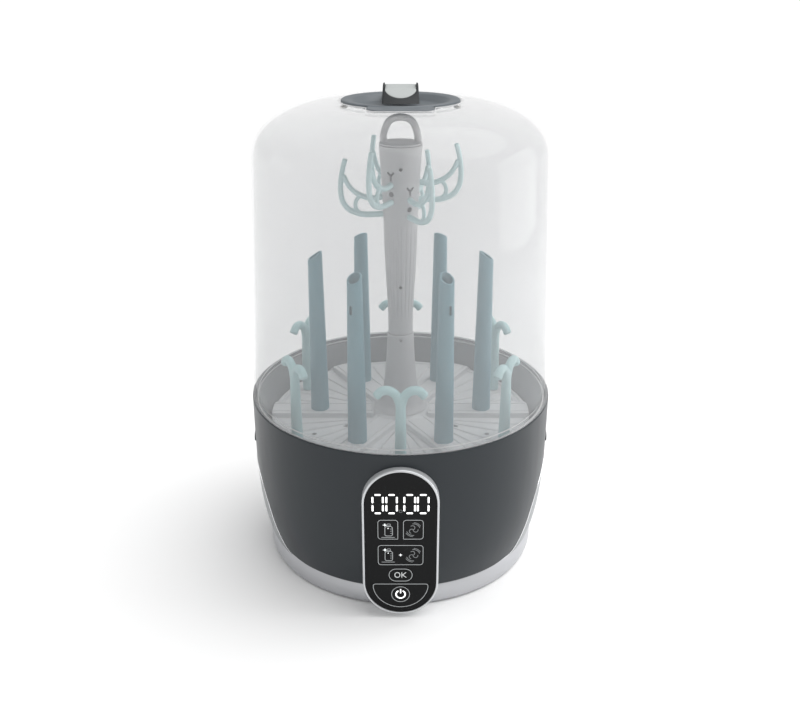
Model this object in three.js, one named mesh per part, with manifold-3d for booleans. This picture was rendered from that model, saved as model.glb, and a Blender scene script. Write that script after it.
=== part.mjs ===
// Countertop steriliser and dryer for feeding bottles.
// Millimetres, +Z up, origin on the table under the centre of the round base, control panel facing -Y.
// Four groups come apart by hand: the base, the drying rack, the teat tree and the clear lid.

import * as THREE from "three";
import { mergeVertices } from "three/addons/utils/BufferGeometryUtils.js";
import Module from "manifold-3d";

const wasm = await Module();
wasm.setup();

// Driving dimensions.

const GAP = 0.3; // clearance between pieces that touch
const FAR = 150; // past everything in the base
const ROUND = 32; // facets round the housings and the lid
const SMALL_ROUND = 12; // facets round pegs, posts and screws

const RIM_RADIUS = 131; // the base at its rim
const RIM_HEIGHT = 148;
const SHELL_BOTTOM = 19.3; // the shells stand on the foot ring from here up
const BASE_TAPER = 9.9; // how much the base draws in at its bottom
const SHELL_WALL = 2.4;
const TRIM_HALF_WIDTH = 1.1;

const FOOT_PITCH_RADIUS = 95;
const FOOT_RADIUS = 9;

const PANEL_FRONT = -136.5; // the front plane of the control panel's bezel
const PANEL_BOTTOM = 4.2;
const PANEL_TOP = 138.5;
const PANEL_HALF_WIDTH = 30.5;
const BEZEL_WIDTH = 2;
const FACE_FRONT = -136.2;
const FACE_BACK = -133.2;

// The keys as seen from the front: corner radii run from the lower left, anticlockwise.
const KEYS = [
  { name: "key_sterilise", box: [-18.4, 75.9, -1.7, 94.4], radii: [3, 0.6, 3, 3] },
  { name: "key_dry", box: [1.7, 75.9, 18.4, 94.4], radii: [0.6, 3, 3, 3] },
  { name: "key_sterilise_dry", box: [-18.4, 51.7, 18.4, 71], radii: [3, 3, 3, 3] },
  { name: "key_ok", box: [-9.8, 36, 9.8, 48.6], radii: [6.2, 6.2, 6.2, 6.2] },
];

const POWER_KEY_RADIUS = 23.2;
const POWER_KEY_TOP = 34.4;
const DISPLAY_BOTTOM = 97.5;
const DISPLAY_TOP = 119.5;

const GRIP_BOTTOM = 96.5; // finger recesses at the sides of the base
const GRIP_TOP = 108;
const GRIP_HALF_LENGTH = 26;
const GRIP_DEPTH_RADIUS = 119.5;

const FILTER = { half: 32, bottom: 38, top: 78 }; // window of the air filter at the back
const INLET = { half: 15, bottom: 34, top: 56, turnDegrees: -32 }; // beside the filter
const FAN_Y = 36; // the fan's axis lies behind the middle of the base
const FAN_RADIUS = 42;
const BOWL_BOTTOM = 93.2;
const DUCT = { half: 18, front: 82, back: 98, wall: 2 }; // carries the hot air up into the bowl

const TRAY_RADIUS = 115.4;
const TRAY_BOTTOM = 119.2;
const TRAY_TOP = 121.6;
const SPOKE_TOP = 126.5;
const SPOKE_HALF_WIDTH = 11.75;
const BOSS_RADIUS = 24.5;
const BOSS_TOP = 129;
const RACK_COUNT = 6; // pegs, hooks and holders all stand in sixes

const PEG_PITCH_RADIUS = 72.6;
const PEG_BOTTOM = 124.3;
const PEG_TOP = 272.7;
const PEG_FOOT_RADIUS = 8.2;
const PEG_TIP_RADIUS = 6;
const PEG_WALL = 1.6;

const HOOK_PITCH_RADIUS = 102;
const HOOK_ARM_RADIUS = 3.6;

const COLUMN_SEAM = 200; // where the tree lifts off its stub
const SPIGOT_RADIUS = 8;
const SPIGOT_BOTTOM = 165;
const COLUMN_TOP = 362.2;

const HOLDER_WIRE_RADIUS = 2.3;
const LOW_HOLDER = 304.8; // height of a holder's lower arm
const HIGH_HOLDER = 317.3;

const LID_BOTTOM = 148.3;
const LID_RADIUS = 130.7;
const LID_SHOULDER_HEIGHT = 350.3;
const LID_SHOULDER_RADIUS = 121.25;
const LID_CROWN_HEIGHT = 53.5;
const LID_CROWN_POWER = 2.45; // 2 is an ellipse, more is squarer
const LID_WALL = 2.6;
const VENT_RADIUS = 48.4; // the hole in the crown
const VENT_PLATE_RADIUS = 47.6;
const VENT_PLATE_TOP = 398.2;
const TAB_HALF_WIDTH = 25;
const TAB_REACH = 60.5;

const HANDLE_HALF_WIDTH = 14;
const HANDLE_TOP = 410;
const HANDLE_ARC_RADIUS = 62;
const HANDLE_THICKNESS = 4.8;
const HANDLE_FOOT = 398.6;
const INSERT_HALF_WIDTH = 12.2;
const INSERT_HALF_LENGTH = 30;
const INSERT_THICKNESS = 1.2;
const SCREW_X = 45.2; // the two screws under the lid plate

// Solids: every piece becomes a manifold, so cuts and joins are exact.

function solid(geometry) {
  const bare = geometry.index ? geometry.toNonIndexed() : geometry.clone();
  bare.deleteAttribute("normal");
  bare.deleteAttribute("uv");
  const merged = mergeVertices(bare, 1e-4);
  return new wasm.Manifold(
    new wasm.Mesh({
      numProp: 3,
      vertProperties: new Float32Array(merged.attributes.position.array),
      triVerts: new Uint32Array(merged.index.array),
    }),
  );
}

function joined(...bodies) {
  return bodies.reduce((whole, body) => whole.add(body));
}

function cut(body, ...tools) {
  return tools.reduce((rest, tool) => rest.subtract(tool), body);
}

// A profile of [radius, height] points turned about Z, listed anticlockwise.
function turned(profile, segments = ROUND, x = 0, y = 0) {
  const points = profile.map(([radius, height]) => new THREE.Vector2(radius, height));
  const onAxis = profile[0][0] === 0 && profile.at(-1)[0] === 0;
  if (!onAxis) {
    points.push(points[0].clone());
  }
  const geometry = new THREE.LatheGeometry(points, segments);
  geometry.rotateX(Math.PI / 2);
  geometry.translate(x, y, 0);
  return solid(geometry);
}

// A plain round bar standing on its base height.
function bar(radius, bottom, top, x = 0, y = 0, segments = SMALL_ROUND) {
  const profile = [
    [0, bottom],
    [radius, bottom],
    [radius, top],
    [0, top],
  ];
  return turned(profile, segments, x, y);
}

// A box from its low corner to its high corner.
function block(low, high) {
  const size = high.map((value, i) => value - low[i]);
  const geometry = new THREE.BoxGeometry(...size);
  geometry.translate(...low.map((value, i) => value + size[i] / 2));
  return solid(geometry);
}

// An outline swept straight: its two axes and the direction of the sweep are given as vectors.
function swept(shape, depth, across, up, along, start, curveSegments) {
  const geometry = new THREE.ExtrudeGeometry(shape, { depth, bevelEnabled: false, curveSegments });
  const frame = new THREE.Matrix4().makeBasis(across, up, along);
  geometry.applyMatrix4(frame);
  geometry.translate(...along.clone().multiplyScalar(start).toArray());
  return solid(geometry);
}

const X = new THREE.Vector3(1, 0, 0);
const Y = new THREE.Vector3(0, 1, 0);
const Z = new THREE.Vector3(0, 0, 1);
const FORWARD = new THREE.Vector3(0, -1, 0);

// A side view (y, z) swept from side to side.
function sideSwept(shape, left, right) {
  return swept(shape, right - left, Y, Z, X, left, 8);
}

// A front view (x, z) swept towards the front, from one y to a lower y.
function frontSwept(shape, back, front, curveSegments = 2) {
  return swept(shape, back - front, X, Z, FORWARD, -back, curveSegments);
}

// A top view (x, y) swept upwards.
function upSwept(shape, bottom, top) {
  return swept(shape, top - bottom, X, Y, Z, bottom, 3);
}

// A round wire bent along a smooth curve through the given [x, y, z] points.
function wire(radius, points, steps, sides) {
  const curve = new THREE.CatmullRomCurve3(points.map((point) => new THREE.Vector3(...point)));
  const section = new THREE.Shape();
  for (let i = 0; i < sides; i += 1) {
    const angle = ((i + 0.5) / sides) * 2 * Math.PI;
    const corner = [radius * Math.cos(angle), radius * Math.sin(angle)];
    if (i === 0) {
      section.moveTo(...corner);
    } else {
      section.lineTo(...corner);
    }
  }
  return solid(new THREE.ExtrudeGeometry(section, { steps, extrudePath: curve }));
}

function outline(points) {
  return new THREE.Shape(points.map(([a, b]) => new THREE.Vector2(a, b)));
}

// A rectangle whose four corner radii run from the lower left, anticlockwise.
function roundedRectangle(left, bottom, right, top, radii) {
  const [lowerLeft, lowerRight, upperRight, upperLeft] = radii;
  const shape = new THREE.Shape();
  shape.moveTo(left + lowerLeft, bottom);
  shape.absarc(right - lowerRight, bottom + lowerRight, lowerRight, -Math.PI / 2, 0);
  shape.absarc(right - upperRight, top - upperRight, upperRight, 0, Math.PI / 2);
  shape.absarc(left + upperLeft, top - upperLeft, upperLeft, Math.PI / 2, Math.PI);
  shape.absarc(left + lowerLeft, bottom + lowerLeft, lowerLeft, Math.PI, 1.5 * Math.PI);
  return shape;
}

// An upright outline with half-round ends.
function stadium(halfWidth, bottom, top) {
  const shape = new THREE.Shape();
  shape.absarc(0, bottom + halfWidth, halfWidth, Math.PI, 2 * Math.PI);
  shape.absarc(0, top - halfWidth, halfWidth, 0, Math.PI);
  return shape;
}

// Pieces: each solid becomes one named mesh in the group it comes apart with.

const group = new THREE.Group();
const base = new THREE.Group();
const rack = new THREE.Group();
const tree = new THREE.Group();
const lid = new THREE.Group();
group.add(base, rack, tree, lid);

function add(parent, name, body, colour, roughness, metalness = 0, opacity = 1) {
  const { numProp, vertProperties, triVerts } = body.getMesh();
  const geometry = new THREE.BufferGeometry();
  geometry.setAttribute("position", new THREE.BufferAttribute(vertProperties, numProp));
  geometry.setIndex(new THREE.BufferAttribute(triVerts, 1));
  geometry.computeVertexNormals();
  const material = new THREE.MeshStandardMaterial({
    color: colour,
    roughness,
    metalness,
    opacity,
    transparent: opacity < 1,
  });
  const mesh = new THREE.Mesh(geometry, material);
  mesh.name = name;
  parent.add(mesh);
  return mesh;
}

const SLATE = 0x3b454c;
const SILVER = 0xb4b7b9;
const SHELL_GREY = 0xa9abad;
const LIGHT_GREY = 0xb9bbbb;
const AQUA = 0xa9c9c8;
const TEAL = 0x6f8f97;
const STEEL = 0xb8b8b6;
const BLACK = 0x0d0f10;

// The outer radius of the base at a height: upright at the rim, drawn in towards the foot.
function baseRadius(height) {
  const drop = (RIM_HEIGHT - height) / (RIM_HEIGHT - 20);
  return RIM_RADIUS - BASE_TAPER * drop ** 4;
}

// A wall that follows the base's side, between two depths measured in from its surface.
function baseWall(bottom, top, outerDepth, innerDepth, steps = 5) {
  const heights = Array.from({ length: steps + 1 }, (_, i) => bottom + ((top - bottom) * i) / steps);
  const outside = heights.map((height) => [baseRadius(height) - outerDepth, height]);
  const inside = heights.map((height) => [baseRadius(height) - innerDepth, height]).reverse();
  return turned([...outside, ...inside]);
}

// Seen from the side, the front shell ends along this line of (y, z): a bib at the front that
// sweeps up and back into a level band at the rear.
const SHELL_EDGE = new THREE.SplineCurve(
  [
    [-90, 18],
    [-78, 20],
    [-70, 25.5],
    [-63.5, 42],
    [-57, 62],
    [-45, 77],
    [-20, 88],
    [20, 92.5],
    [75, 94],
    [140, 94.5],
  ].map(([y, z]) => new THREE.Vector2(y, z)),
);

// The same line moved squarely to one side of itself, positive upwards.
function shellEdge(offset, samples = 18) {
  return Array.from({ length: samples + 1 }, (_, i) => {
    const at = SHELL_EDGE.getPoint(i / samples);
    const along = SHELL_EDGE.getTangent(i / samples);
    return [at.x - along.y * offset, at.y + along.x * offset];
  });
}

function makeFootRing() {
  const profile = [
    [115, 1],
    [119.2, 1],
    [120.8, 3],
    [121.3, 9],
    [120.9, 15],
    [119.8, 18.9],
    [115, 18.9],
  ];
  add(base, "foot_ring", turned(profile), SILVER, 0.3, 0.85);
}

function makeBottomCover() {
  const plate = bar(114.6, 2.6, 5, 0, 0, ROUND);
  const vents = [];
  for (let i = -2; i <= 2; i += 1) {
    vents.push(block([-30, i * 9 - 2 - 40, 0], [30, i * 9 + 2 - 40, 8]));
  }
  add(base, "bottom_cover", cut(plate, ...vents), 0x2a2e31, 0.7);
}

function makeRubberFeet() {
  for (let i = 0; i < 4; i += 1) {
    const angle = Math.PI / 4 + (i * Math.PI) / 2;
    const x = FOOT_PITCH_RADIUS * Math.cos(angle);
    const y = FOOT_PITCH_RADIUS * Math.sin(angle);
    const profile = [
      [0, 0],
      [FOOT_RADIUS - 1, 0],
      [FOOT_RADIUS, 1],
      [FOOT_RADIUS, 2.3],
      [0, 2.3],
    ];
    add(base, `rubber_foot_${i + 1}`, turned(profile, SMALL_ROUND, x, y), 0x1b1c1d, 0.9);
  }
}

function makeShells() {
  const wall = baseWall(SHELL_BOTTOM, RIM_HEIGHT, 0, SHELL_WALL);
  const upper = shellEdge(TRIM_HALF_WIDTH + GAP);
  const above = outline([[-FAR, 0], [-91, 0], ...upper, [FAR, 95], [FAR, FAR + 20], [-FAR, FAR + 20]]);
  const panelWindow = block([-24, -FAR, 26], [24, -100, 120]); // behind the control panel
  const gripWindow = block(
    [-FAR, -GRIP_HALF_LENGTH, GRIP_BOTTOM],
    [FAR, GRIP_HALF_LENGTH, GRIP_TOP],
  );
  const front = cut(wall.intersect(sideSwept(above, -FAR, FAR)), panelWindow, gripWindow);
  add(base, "front_shell", front, SLATE, 0.38);

  const lower = shellEdge(-TRIM_HALF_WIDTH - GAP);
  const below = outline([[-90, 0], ...lower, [FAR, 93], [FAR, 0]].reverse());
  const filterWindow = block([-FILTER.half, 100, FILTER.bottom], [FILTER.half, FAR, FILTER.top]);
  const inletWindow = atInlet(block([-INLET.half, 100, INLET.bottom], [INLET.half, FAR, INLET.top]));
  const rear = cut(wall.intersect(sideSwept(below, -FAR, FAR)), filterWindow, inletWindow);
  add(base, "rear_shell", rear, SHELL_GREY, 0.42);

  const strip = outline([...shellEdge(-TRIM_HALF_WIDTH), ...shellEdge(TRIM_HALF_WIDTH).reverse()]);
  const proudWall = baseWall(SHELL_BOTTOM, 100, -0.35, 1.8, 4);
  add(base, "trim_strip", proudWall.intersect(sideSwept(strip, -FAR, FAR)), 0xd4d6d8, 0.15, 1);
}

// The mains inlet sits beside the filter, turned about Z from the middle of the back.
function atInlet(body) {
  return body.rotate([0, 0, INLET.turnDegrees]);
}

function makeFilter() {
  const wall = baseWall(FILTER.bottom + GAP, FILTER.top - GAP, -2.8, 3.4, 3);
  const window = block([GAP - FILTER.half, 90, 0], [FILTER.half - GAP, FAR, 99]);
  const slots = [];
  for (let i = 0; i < 5; i += 1) {
    const bottom = FILTER.bottom + 4.5 + i * 6.6;
    slots.push(block([-26, 90, bottom], [26, FAR, bottom + 4]));
  }
  add(base, "filter_cover", cut(wall.intersect(window), ...slots), SHELL_GREY, 0.45);
  const pad = block([-29, 109.5, FILTER.bottom + 3], [29, 116, FILTER.top - 3]);
  add(base, "air_filter", pad, 0xe8e6df, 0.95);
}

function makeInlet() {
  const back = 108;
  const face = 127;
  const body = block(
    [GAP - INLET.half, back, INLET.bottom + GAP],
    [INLET.half - GAP, face, INLET.top - GAP],
  );
  const socket = block([-12, back + 4, INLET.bottom + 3], [12, FAR, INLET.top - 3]);
  add(base, "power_inlet", atInlet(cut(body, socket)), BLACK, 0.5);
}

// The inside of the hot-air duct between two heights.
function airwayThroughDuct(bottom, top) {
  return block(
    [DUCT.wall - DUCT.half, DUCT.front + DUCT.wall, bottom],
    [DUCT.half - DUCT.wall, DUCT.back - DUCT.wall, top],
  );
}

function makeBowl() {
  const profile = [
    [45.9, BOWL_BOTTOM],
    [98, BOWL_BOTTOM],
    [112, 103.5],
    [115.2, 116.2],
    [119.4, 118],
    [128, 141],
    [128.2, 144.7],
    [125.9, 144.7],
    [117.2, 120],
    [115.9, 118.9],
    [113, 118.6],
    [109.6, 105],
    [97, 95.6],
    [48, 95.6],
    [45.9, 95.2],
  ];
  const airway = airwayThroughDuct(60, 120); // hot air comes up here from the duct below
  add(base, "inner_bowl", cut(turned(profile), airway), 0x8f9294, 0.35);
}

function makeHeater() {
  const plate = [
    [0, 90],
    [50, 90],
    [50, 92.9],
    [45.6, 92.9],
    [45.6, 95],
    [40, 94.2],
    [0, 93.4],
  ];
  add(base, "heating_plate", turned(plate), STEEL, 0.28, 1);
  const ring = [];
  for (let i = 0; i < 6; i += 1) {
    const angle = (i / 6) * 2 * Math.PI;
    ring.push([32 + 3.4 * Math.cos(angle), 86.1 + 3.4 * Math.sin(angle)]);
  }
  add(base, "heating_element", turned(ring, 20), 0x6d6a66, 0.5, 0.9);
  add(base, "thermostat", bar(9, 80, 89.7), 0xc9b48a, 0.6);
}

function makeFan() {
  const wall = 2.4;
  const cup = bar(FAN_RADIUS, 24, 44, 0, FAN_Y, 24);
  const hollow = bar(FAN_RADIUS - wall, 24 + wall, 60, 0, FAN_Y, 24);
  const spout = block([-19, 60, 24], [19, 99, 44]);
  const throat = block([wall - 19, 50, 24 + wall], [19 - wall, 99 - wall, 44 - wall]);
  const outlet = airwayThroughDuct(30, 60);
  const shaftHole = bar(6, 0, 60, 0, FAN_Y);
  const housing = cut(joined(cup, spout), hollow, throat, outlet, shaftHole);
  add(base, "fan_housing", housing, 0x3a3d40, 0.6);

  add(base, "fan_motor", joined(bar(15, 7, 22, 0, FAN_Y), bar(1.9, 21, 38, 0, FAN_Y)), STEEL, 0.4, 0.9);

  const hub = bar(9, 29, 39, 0, 0);
  const disc = bar(36, 28, 30, 0, 0, 16);
  const blades = [];
  for (let i = 0; i < 8; i += 1) {
    blades.push(block([8, -0.9, 29], [34.5, 0.9, 40]).rotate([0, 0, i * 45]));
  }
  const wheel = cut(joined(disc, hub, ...blades), bar(2.3, 0, 60)).translate([0, FAN_Y, 0]);
  add(base, "fan_impeller", wheel, 0xdadcda, 0.5);
}

function makeAirHeater() {
  const casing = block([-DUCT.half, DUCT.front, 44.4], [DUCT.half, DUCT.back, BOWL_BOTTOM - GAP]);
  const duct = airwayThroughDuct(62, 120); // the casing runs on upwards as the hot-air duct
  const passages = [];
  for (let i = 0; i < 5; i += 1) {
    const left = -15.6 + i * 6.4;
    passages.push(
      block([left, DUCT.front + DUCT.wall, 40], [left + 5.2, DUCT.back - DUCT.wall, 70]),
    );
  }
  add(base, "air_heater", cut(casing, duct, ...passages), 0xc8b79a, 0.7);
}

function makePowerBoard() {
  const board = block([-70, -60, 14], [70, -20, 15.6]);
  const transformer = block([-60, -52, 15], [-34, -28, 36]);
  const relay = block([20, -50, 15], [44, -34, 30]);
  const capacitor = bar(7, 15, 40, 2, -42);
  add(base, "power_board", joined(board, transformer, relay, capacitor), 0x2f6b45, 0.55);
}

function makeGripCups() {
  const sides = { left: -1, right: 1 };
  for (const [side, sign] of Object.entries(sides)) {
    const outer = baseWall(GRIP_BOTTOM, GRIP_TOP + 4, 0, 30, 3);
    const length = GRIP_HALF_LENGTH - GAP;
    const envelope = block(
      [GRIP_DEPTH_RADIUS, -length, GRIP_BOTTOM + GAP],
      [FAR, length, GRIP_TOP - GAP],
    );
    const hollow = block(
      [GRIP_DEPTH_RADIUS + 1.6, 2 - length, GRIP_BOTTOM + 1.8],
      [FAR, length - 2, GRIP_TOP - 1.8],
    );
    const lip = baseWall(GRIP_TOP - 1.8, GRIP_TOP - GAP, -1, 6, 1).intersect(envelope);
    const cup = joined(cut(outer.intersect(envelope), hollow), lip);
    add(base, `grip_cup_${side}`, sign < 0 ? cup.mirror([1, 0, 0]) : cup, 0x2c3338, 0.55);
  }
}

// The power key is the part of a disc below a level line.
function powerKeyShape(growth) {
  const radius = POWER_KEY_RADIUS + growth;
  const start = Math.PI - Math.asin(growth / radius);
  const shape = new THREE.Shape();
  shape.absarc(0, POWER_KEY_TOP, radius, start, 3 * Math.PI - start);
  return shape;
}

function keyShape(key, growth) {
  const [left, bottom, right, top] = key.box;
  const radii = key.radii.map((radius) => radius + growth);
  return roundedRectangle(left - growth, bottom - growth, right + growth, top + growth, radii);
}

function makePanel() {
  const outside = stadium(PANEL_HALF_WIDTH, PANEL_BOTTOM, PANEL_TOP);
  const inside = stadium(
    PANEL_HALF_WIDTH - BEZEL_WIDTH + GAP,
    PANEL_BOTTOM + BEZEL_WIDTH - GAP,
    PANEL_TOP - BEZEL_WIDTH + GAP,
  );
  const tube = cut(frontSwept(outside, -100, PANEL_FRONT, 6), frontSwept(inside, -90, -FAR, 6));
  const step = (RIM_HEIGHT - SHELL_BOTTOM) / 8;
  const heights = Array.from({ length: 9 }, (_, i) => SHELL_BOTTOM + i * step);
  const core = turned([
    [0, 0],
    [121.8, 0],
    [121.8, SHELL_BOTTOM],
    ...heights.map((height) => [baseRadius(height) + GAP + 0.3, height]),
    [0, RIM_HEIGHT],
  ]);
  add(base, "panel_frame", cut(tube, core), SILVER, 0.28, 0.9);

  const faceShape = stadium(
    PANEL_HALF_WIDTH - BEZEL_WIDTH,
    PANEL_BOTTOM + BEZEL_WIDTH,
    PANEL_TOP - BEZEL_WIDTH,
  );
  const holes = KEYS.map((key) => frontSwept(keyShape(key, GAP), -100, -FAR));
  holes.push(frontSwept(powerKeyShape(GAP), -100, -FAR, 6));
  const face = cut(frontSwept(faceShape, FACE_BACK, FACE_FRONT, 6), ...holes);
  add(base, "panel_face", face, BLACK, 0.12);

  for (const key of KEYS) {
    add(base, key.name, frontSwept(keyShape(key, 0), FACE_BACK + 1.2, FACE_FRONT), BLACK, 0.15);
  }
  const powerKey = frontSwept(powerKeyShape(0), FACE_BACK + 1.2, FACE_FRONT, 6);
  add(base, "key_power", powerKey, BLACK, 0.15);

  const display = block([-26, FACE_BACK + GAP, DISPLAY_BOTTOM], [26, -129, DISPLAY_TOP]);
  add(base, "display_module", display, 0x20262a, 0.3);
  const board = block([-23, -127.6, 28], [23, -126, 116]);
  add(base, "control_board", board, 0x2f6b45, 0.55);
}

// Angles are measured from the front towards +X.
function around(angleDegrees, radius) {
  const angle = (angleDegrees * Math.PI) / 180;
  return [radius * Math.sin(angle), -radius * Math.cos(angle)];
}

function makeTray() {
  const profile = [
    [0, TRAY_BOTTOM],
    [TRAY_RADIUS - 1, TRAY_BOTTOM],
    [TRAY_RADIUS, TRAY_BOTTOM + 1],
    [TRAY_RADIUS, TRAY_TOP + 1.6],
    [TRAY_RADIUS - 2.4, TRAY_TOP + 1.6],
    [TRAY_RADIUS - 3.2, TRAY_TOP],
    [BOSS_RADIUS + 3, TRAY_TOP],
    [BOSS_RADIUS, BOSS_TOP],
    [0, BOSS_TOP],
  ];
  let tray = turned(profile);
  const outerLimit = bar(TRAY_RADIUS, TRAY_BOTTOM + 1, SPOKE_TOP, 0, 0, ROUND);
  for (let i = 0; i < RACK_COUNT; i += 1) {
    const spoke = block(
      [-SPOKE_HALF_WIDTH, -TRAY_RADIUS - 5, TRAY_BOTTOM + 1],
      [SPOKE_HALF_WIDTH, -15, SPOKE_TOP],
    );
    tray = tray.add(spoke.rotate([0, 0, 30 + i * 60]).intersect(outerLimit));
  }
  for (let i = 0; i < RACK_COUNT; i += 1) {
    const [x, y] = around(30 + i * 60, PEG_PITCH_RADIUS);
    const drain = block([-2, -58, 0], [2, -38, FAR]).rotate([0, 0, i * 60]);
    const hole = bar(2.2, 0, FAR, ...around(i * 60, 86), 8);
    tray = cut(tray, bar(PEG_FOOT_RADIUS + GAP, PEG_BOTTOM - GAP, FAR, x, y), drain, hole);
  }
  add(rack, "rack_tray", tray, LIGHT_GREY, 0.3);
}

function makePegs() {
  const lift = PEG_TOP - 40;
  for (let i = 0; i < RACK_COUNT; i += 1) {
    const tube = turned([
      [PEG_FOOT_RADIUS - PEG_WALL, PEG_BOTTOM],
      [PEG_FOOT_RADIUS, PEG_BOTTOM],
      [PEG_TIP_RADIUS, PEG_TOP],
      [PEG_TIP_RADIUS - PEG_WALL, PEG_TOP],
    ], SMALL_ROUND);
    const mouth = outline([
      [-20, PEG_TOP - 15.1],
      [20, PEG_TOP + 8.2],
      [20, PEG_TOP + 30],
      [-20, PEG_TOP + 30],
    ]);
    const slot = block([-1.2, -20, lift + 7], [1.2, 0, lift + 15]);
    const peg = cut(tube, sideSwept(mouth, -20, 20), slot);
    const angle = 30 + i * 60;
    const [x, y] = around(angle, PEG_PITCH_RADIUS);
    add(rack, `peg_${i + 1}`, peg.rotate([0, 0, angle]).translate([x, y, 0]), TEAL, 0.4);
  }
}

function makeHooks() {
  for (let i = 0; i < RACK_COUNT; i += 1) {
    const post = turned([
      [0, TRAY_TOP + GAP],
      [5, TRAY_TOP + GAP],
      [4.2, 176],
      [3.6, 184],
      [0, 185],
    ], SMALL_ROUND);
    const arms = [-1, 1].map((side) =>
      wire(
        HOOK_ARM_RADIUS,
        [
          [0, 0, 176],
          [side * 3.6, 0, 185.5],
          [side * 9.5, 0, 190],
          [side * 15.5, 0, 189.4],
          [side * 19.6, 0, 184.8],
        ],
        5,
        6,
      ),
    );
    const angle = i * 60;
    const [x, y] = around(angle, HOOK_PITCH_RADIUS);
    add(rack, `hook_${i + 1}`, joined(post, ...arms).rotate([0, 0, angle]).translate([x, y, 0]), AQUA, 0.4);
  }
}

function makeColumnBase() {
  const stub = turned([
    [0, BOSS_TOP + GAP],
    [24.2, BOSS_TOP + GAP],
    [20, 133],
    [16.6, 142],
    [14.3, 154],
    [12.9, 170],
    [11.8, 189],
    [11.6, COLUMN_SEAM - GAP],
    [SPIGOT_RADIUS + GAP, COLUMN_SEAM - GAP],
    [SPIGOT_RADIUS + GAP, SPIGOT_BOTTOM - 1],
    [0, SPIGOT_BOTTOM - 1],
  ], 16);
  add(rack, "column_base", stub, LIGHT_GREY, 0.4);
}

function makeTreeColumn() {
  let column = turned([
    [0, SPIGOT_BOTTOM],
    [SPIGOT_RADIUS - 1, SPIGOT_BOTTOM],
    [SPIGOT_RADIUS, SPIGOT_BOTTOM + 3],
    [SPIGOT_RADIUS, COLUMN_SEAM],
    [10.6, COLUMN_SEAM],
    [10.6, 218],
    [12, 240],
    [13.5, 270],
    [14.3, 300],
    [15.4, 325],
    [16.6, 346],
    [17.9, COLUMN_TOP],
    [13, COLUMN_TOP],
    [13, COLUMN_TOP - 14],
    [0, COLUMN_TOP - 14],
  ], 16);
  for (const height of [244, 344.7]) {
    column = column.subtract(block([-1, -30, height - 1], [1, -6, height + 1]));
  }
  add(tree, "tree_column", column, LIGHT_GREY, 0.4);

  const cap = turned([
    [0, COLUMN_TOP - 13],
    [12.6, COLUMN_TOP - 13],
    [12.6, COLUMN_TOP + GAP],
    [17.7, COLUMN_TOP + GAP],
    [17.3, 364.4],
    [0, 364.4],
  ], 16);
  const loop = wire(
    2.7,
    [
      [-14, 0, 362.8],
      [-13.5, 0, 371],
      [-10.4, 0, 380],
      [0, 0, 383.6],
      [10.4, 0, 380],
      [13.5, 0, 371],
      [14, 0, 362.8],
    ],
    12,
    6,
  );
  add(tree, "tree_handle", cap.add(loop), LIGHT_GREY, 0.4);
}

function makeHolders() {
  for (let i = 0; i < RACK_COUNT; i += 1) {
    const angle = 30 + i * 60;
    const low = i % 2 === 0 ? LOW_HOLDER : HIGH_HOLDER;
    const root = -16.6;
    const outerArm = wire(
      HOLDER_WIRE_RADIUS,
      [
        [0, root, low],
        [0, -34, low],
        [0, -44, low + 4],
        [0, -49, low + 14],
        [0, -49.4, low + 24],
        [0, -47.5, low + 36],
        [0, -45, low + 46],
      ],
      10,
      5,
    );
    const innerArm = wire(
      HOLDER_WIRE_RADIUS,
      [
        [0, root - 0.4, low + 14.6],
        [0, -30, low + 15],
        [0, -40, low + 20],
        [0, -46.5, low + 32],
      ],
      5,
      5,
    );
    const strut = wire(
      1.8,
      [
        [0, -33, low + 0.5],
        [0, -37.6, low + 4.5],
        [0, -37.8, low + 10],
        [0, -33.6, low + 14.8],
      ],
      3,
      5,
    );
    const holder = joined(outerArm, innerArm, strut).rotate([0, 0, angle]);
    add(tree, `holder_${i + 1}`, holder, AQUA, 0.35);
  }
}

// The crown of the lid from the shoulder towards the axis, a given depth inside its surface.
function crown(inset, fromShare, toShare, count) {
  return Array.from({ length: count + 1 }, (_, i) => {
    const angle = ((fromShare + ((toShare - fromShare) * i) / count) * Math.PI) / 2;
    const power = 2 / LID_CROWN_POWER;
    const radius = (LID_SHOULDER_RADIUS - inset) * Math.cos(angle) ** power;
    const height = LID_SHOULDER_HEIGHT + (LID_CROWN_HEIGHT - inset) * Math.sin(angle) ** power;
    return [radius, height];
  });
}

function tabShape(halfWidth, reach) {
  return roundedRectangle(-halfWidth, -reach, halfWidth, -30, [5, 5, 1, 1]);
}

function makeLid() {
  const outside = crown(0, 0, 0.79, 6);
  const inside = crown(LID_WALL, 0, 0.76, 5).reverse();
  const wall = turned([
    [125.8, 145.3],
    [128.1, 145.3],
    [128.1, LID_BOTTOM],
    [LID_RADIUS, LID_BOTTOM],
    ...outside,
    [VENT_RADIUS + 1, 401.3],
    [VENT_RADIUS, 400.6],
    [VENT_RADIUS, 395.2],
    [42.5, 395.2],
    [42.5, 392.6],
    [VENT_RADIUS + 2, 392.6],
    [VENT_RADIUS + 3, 397.2],
    ...inside,
    [127.8, 158],
    [125.8, 150],
  ]);
  const pocketWalls = upSwept(tabShape(TAB_HALF_WIDTH + 3, TAB_REACH + 3), 392.6, 397.4);
  const ventHole = bar(VENT_RADIUS, 395.2, 410, 0, 0, ROUND);
  const throat = bar(42.5, 380, 410, 0, 0, ROUND);
  const notch = upSwept(tabShape(TAB_HALF_WIDTH + 0.6, TAB_REACH + 0.6), 395.2, 410);
  const screwHoles = [-1, 1].map((side) => bar(1.9, 380, 400, side * SCREW_X, 0, 8));
  const dome = cut(joined(wall, pocketWalls), ventHole, throat, notch, ...screwHoles);
  add(lid, "lid_dome", dome, 0xe9eef0, 0.05, 0, 0.3);
}

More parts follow.
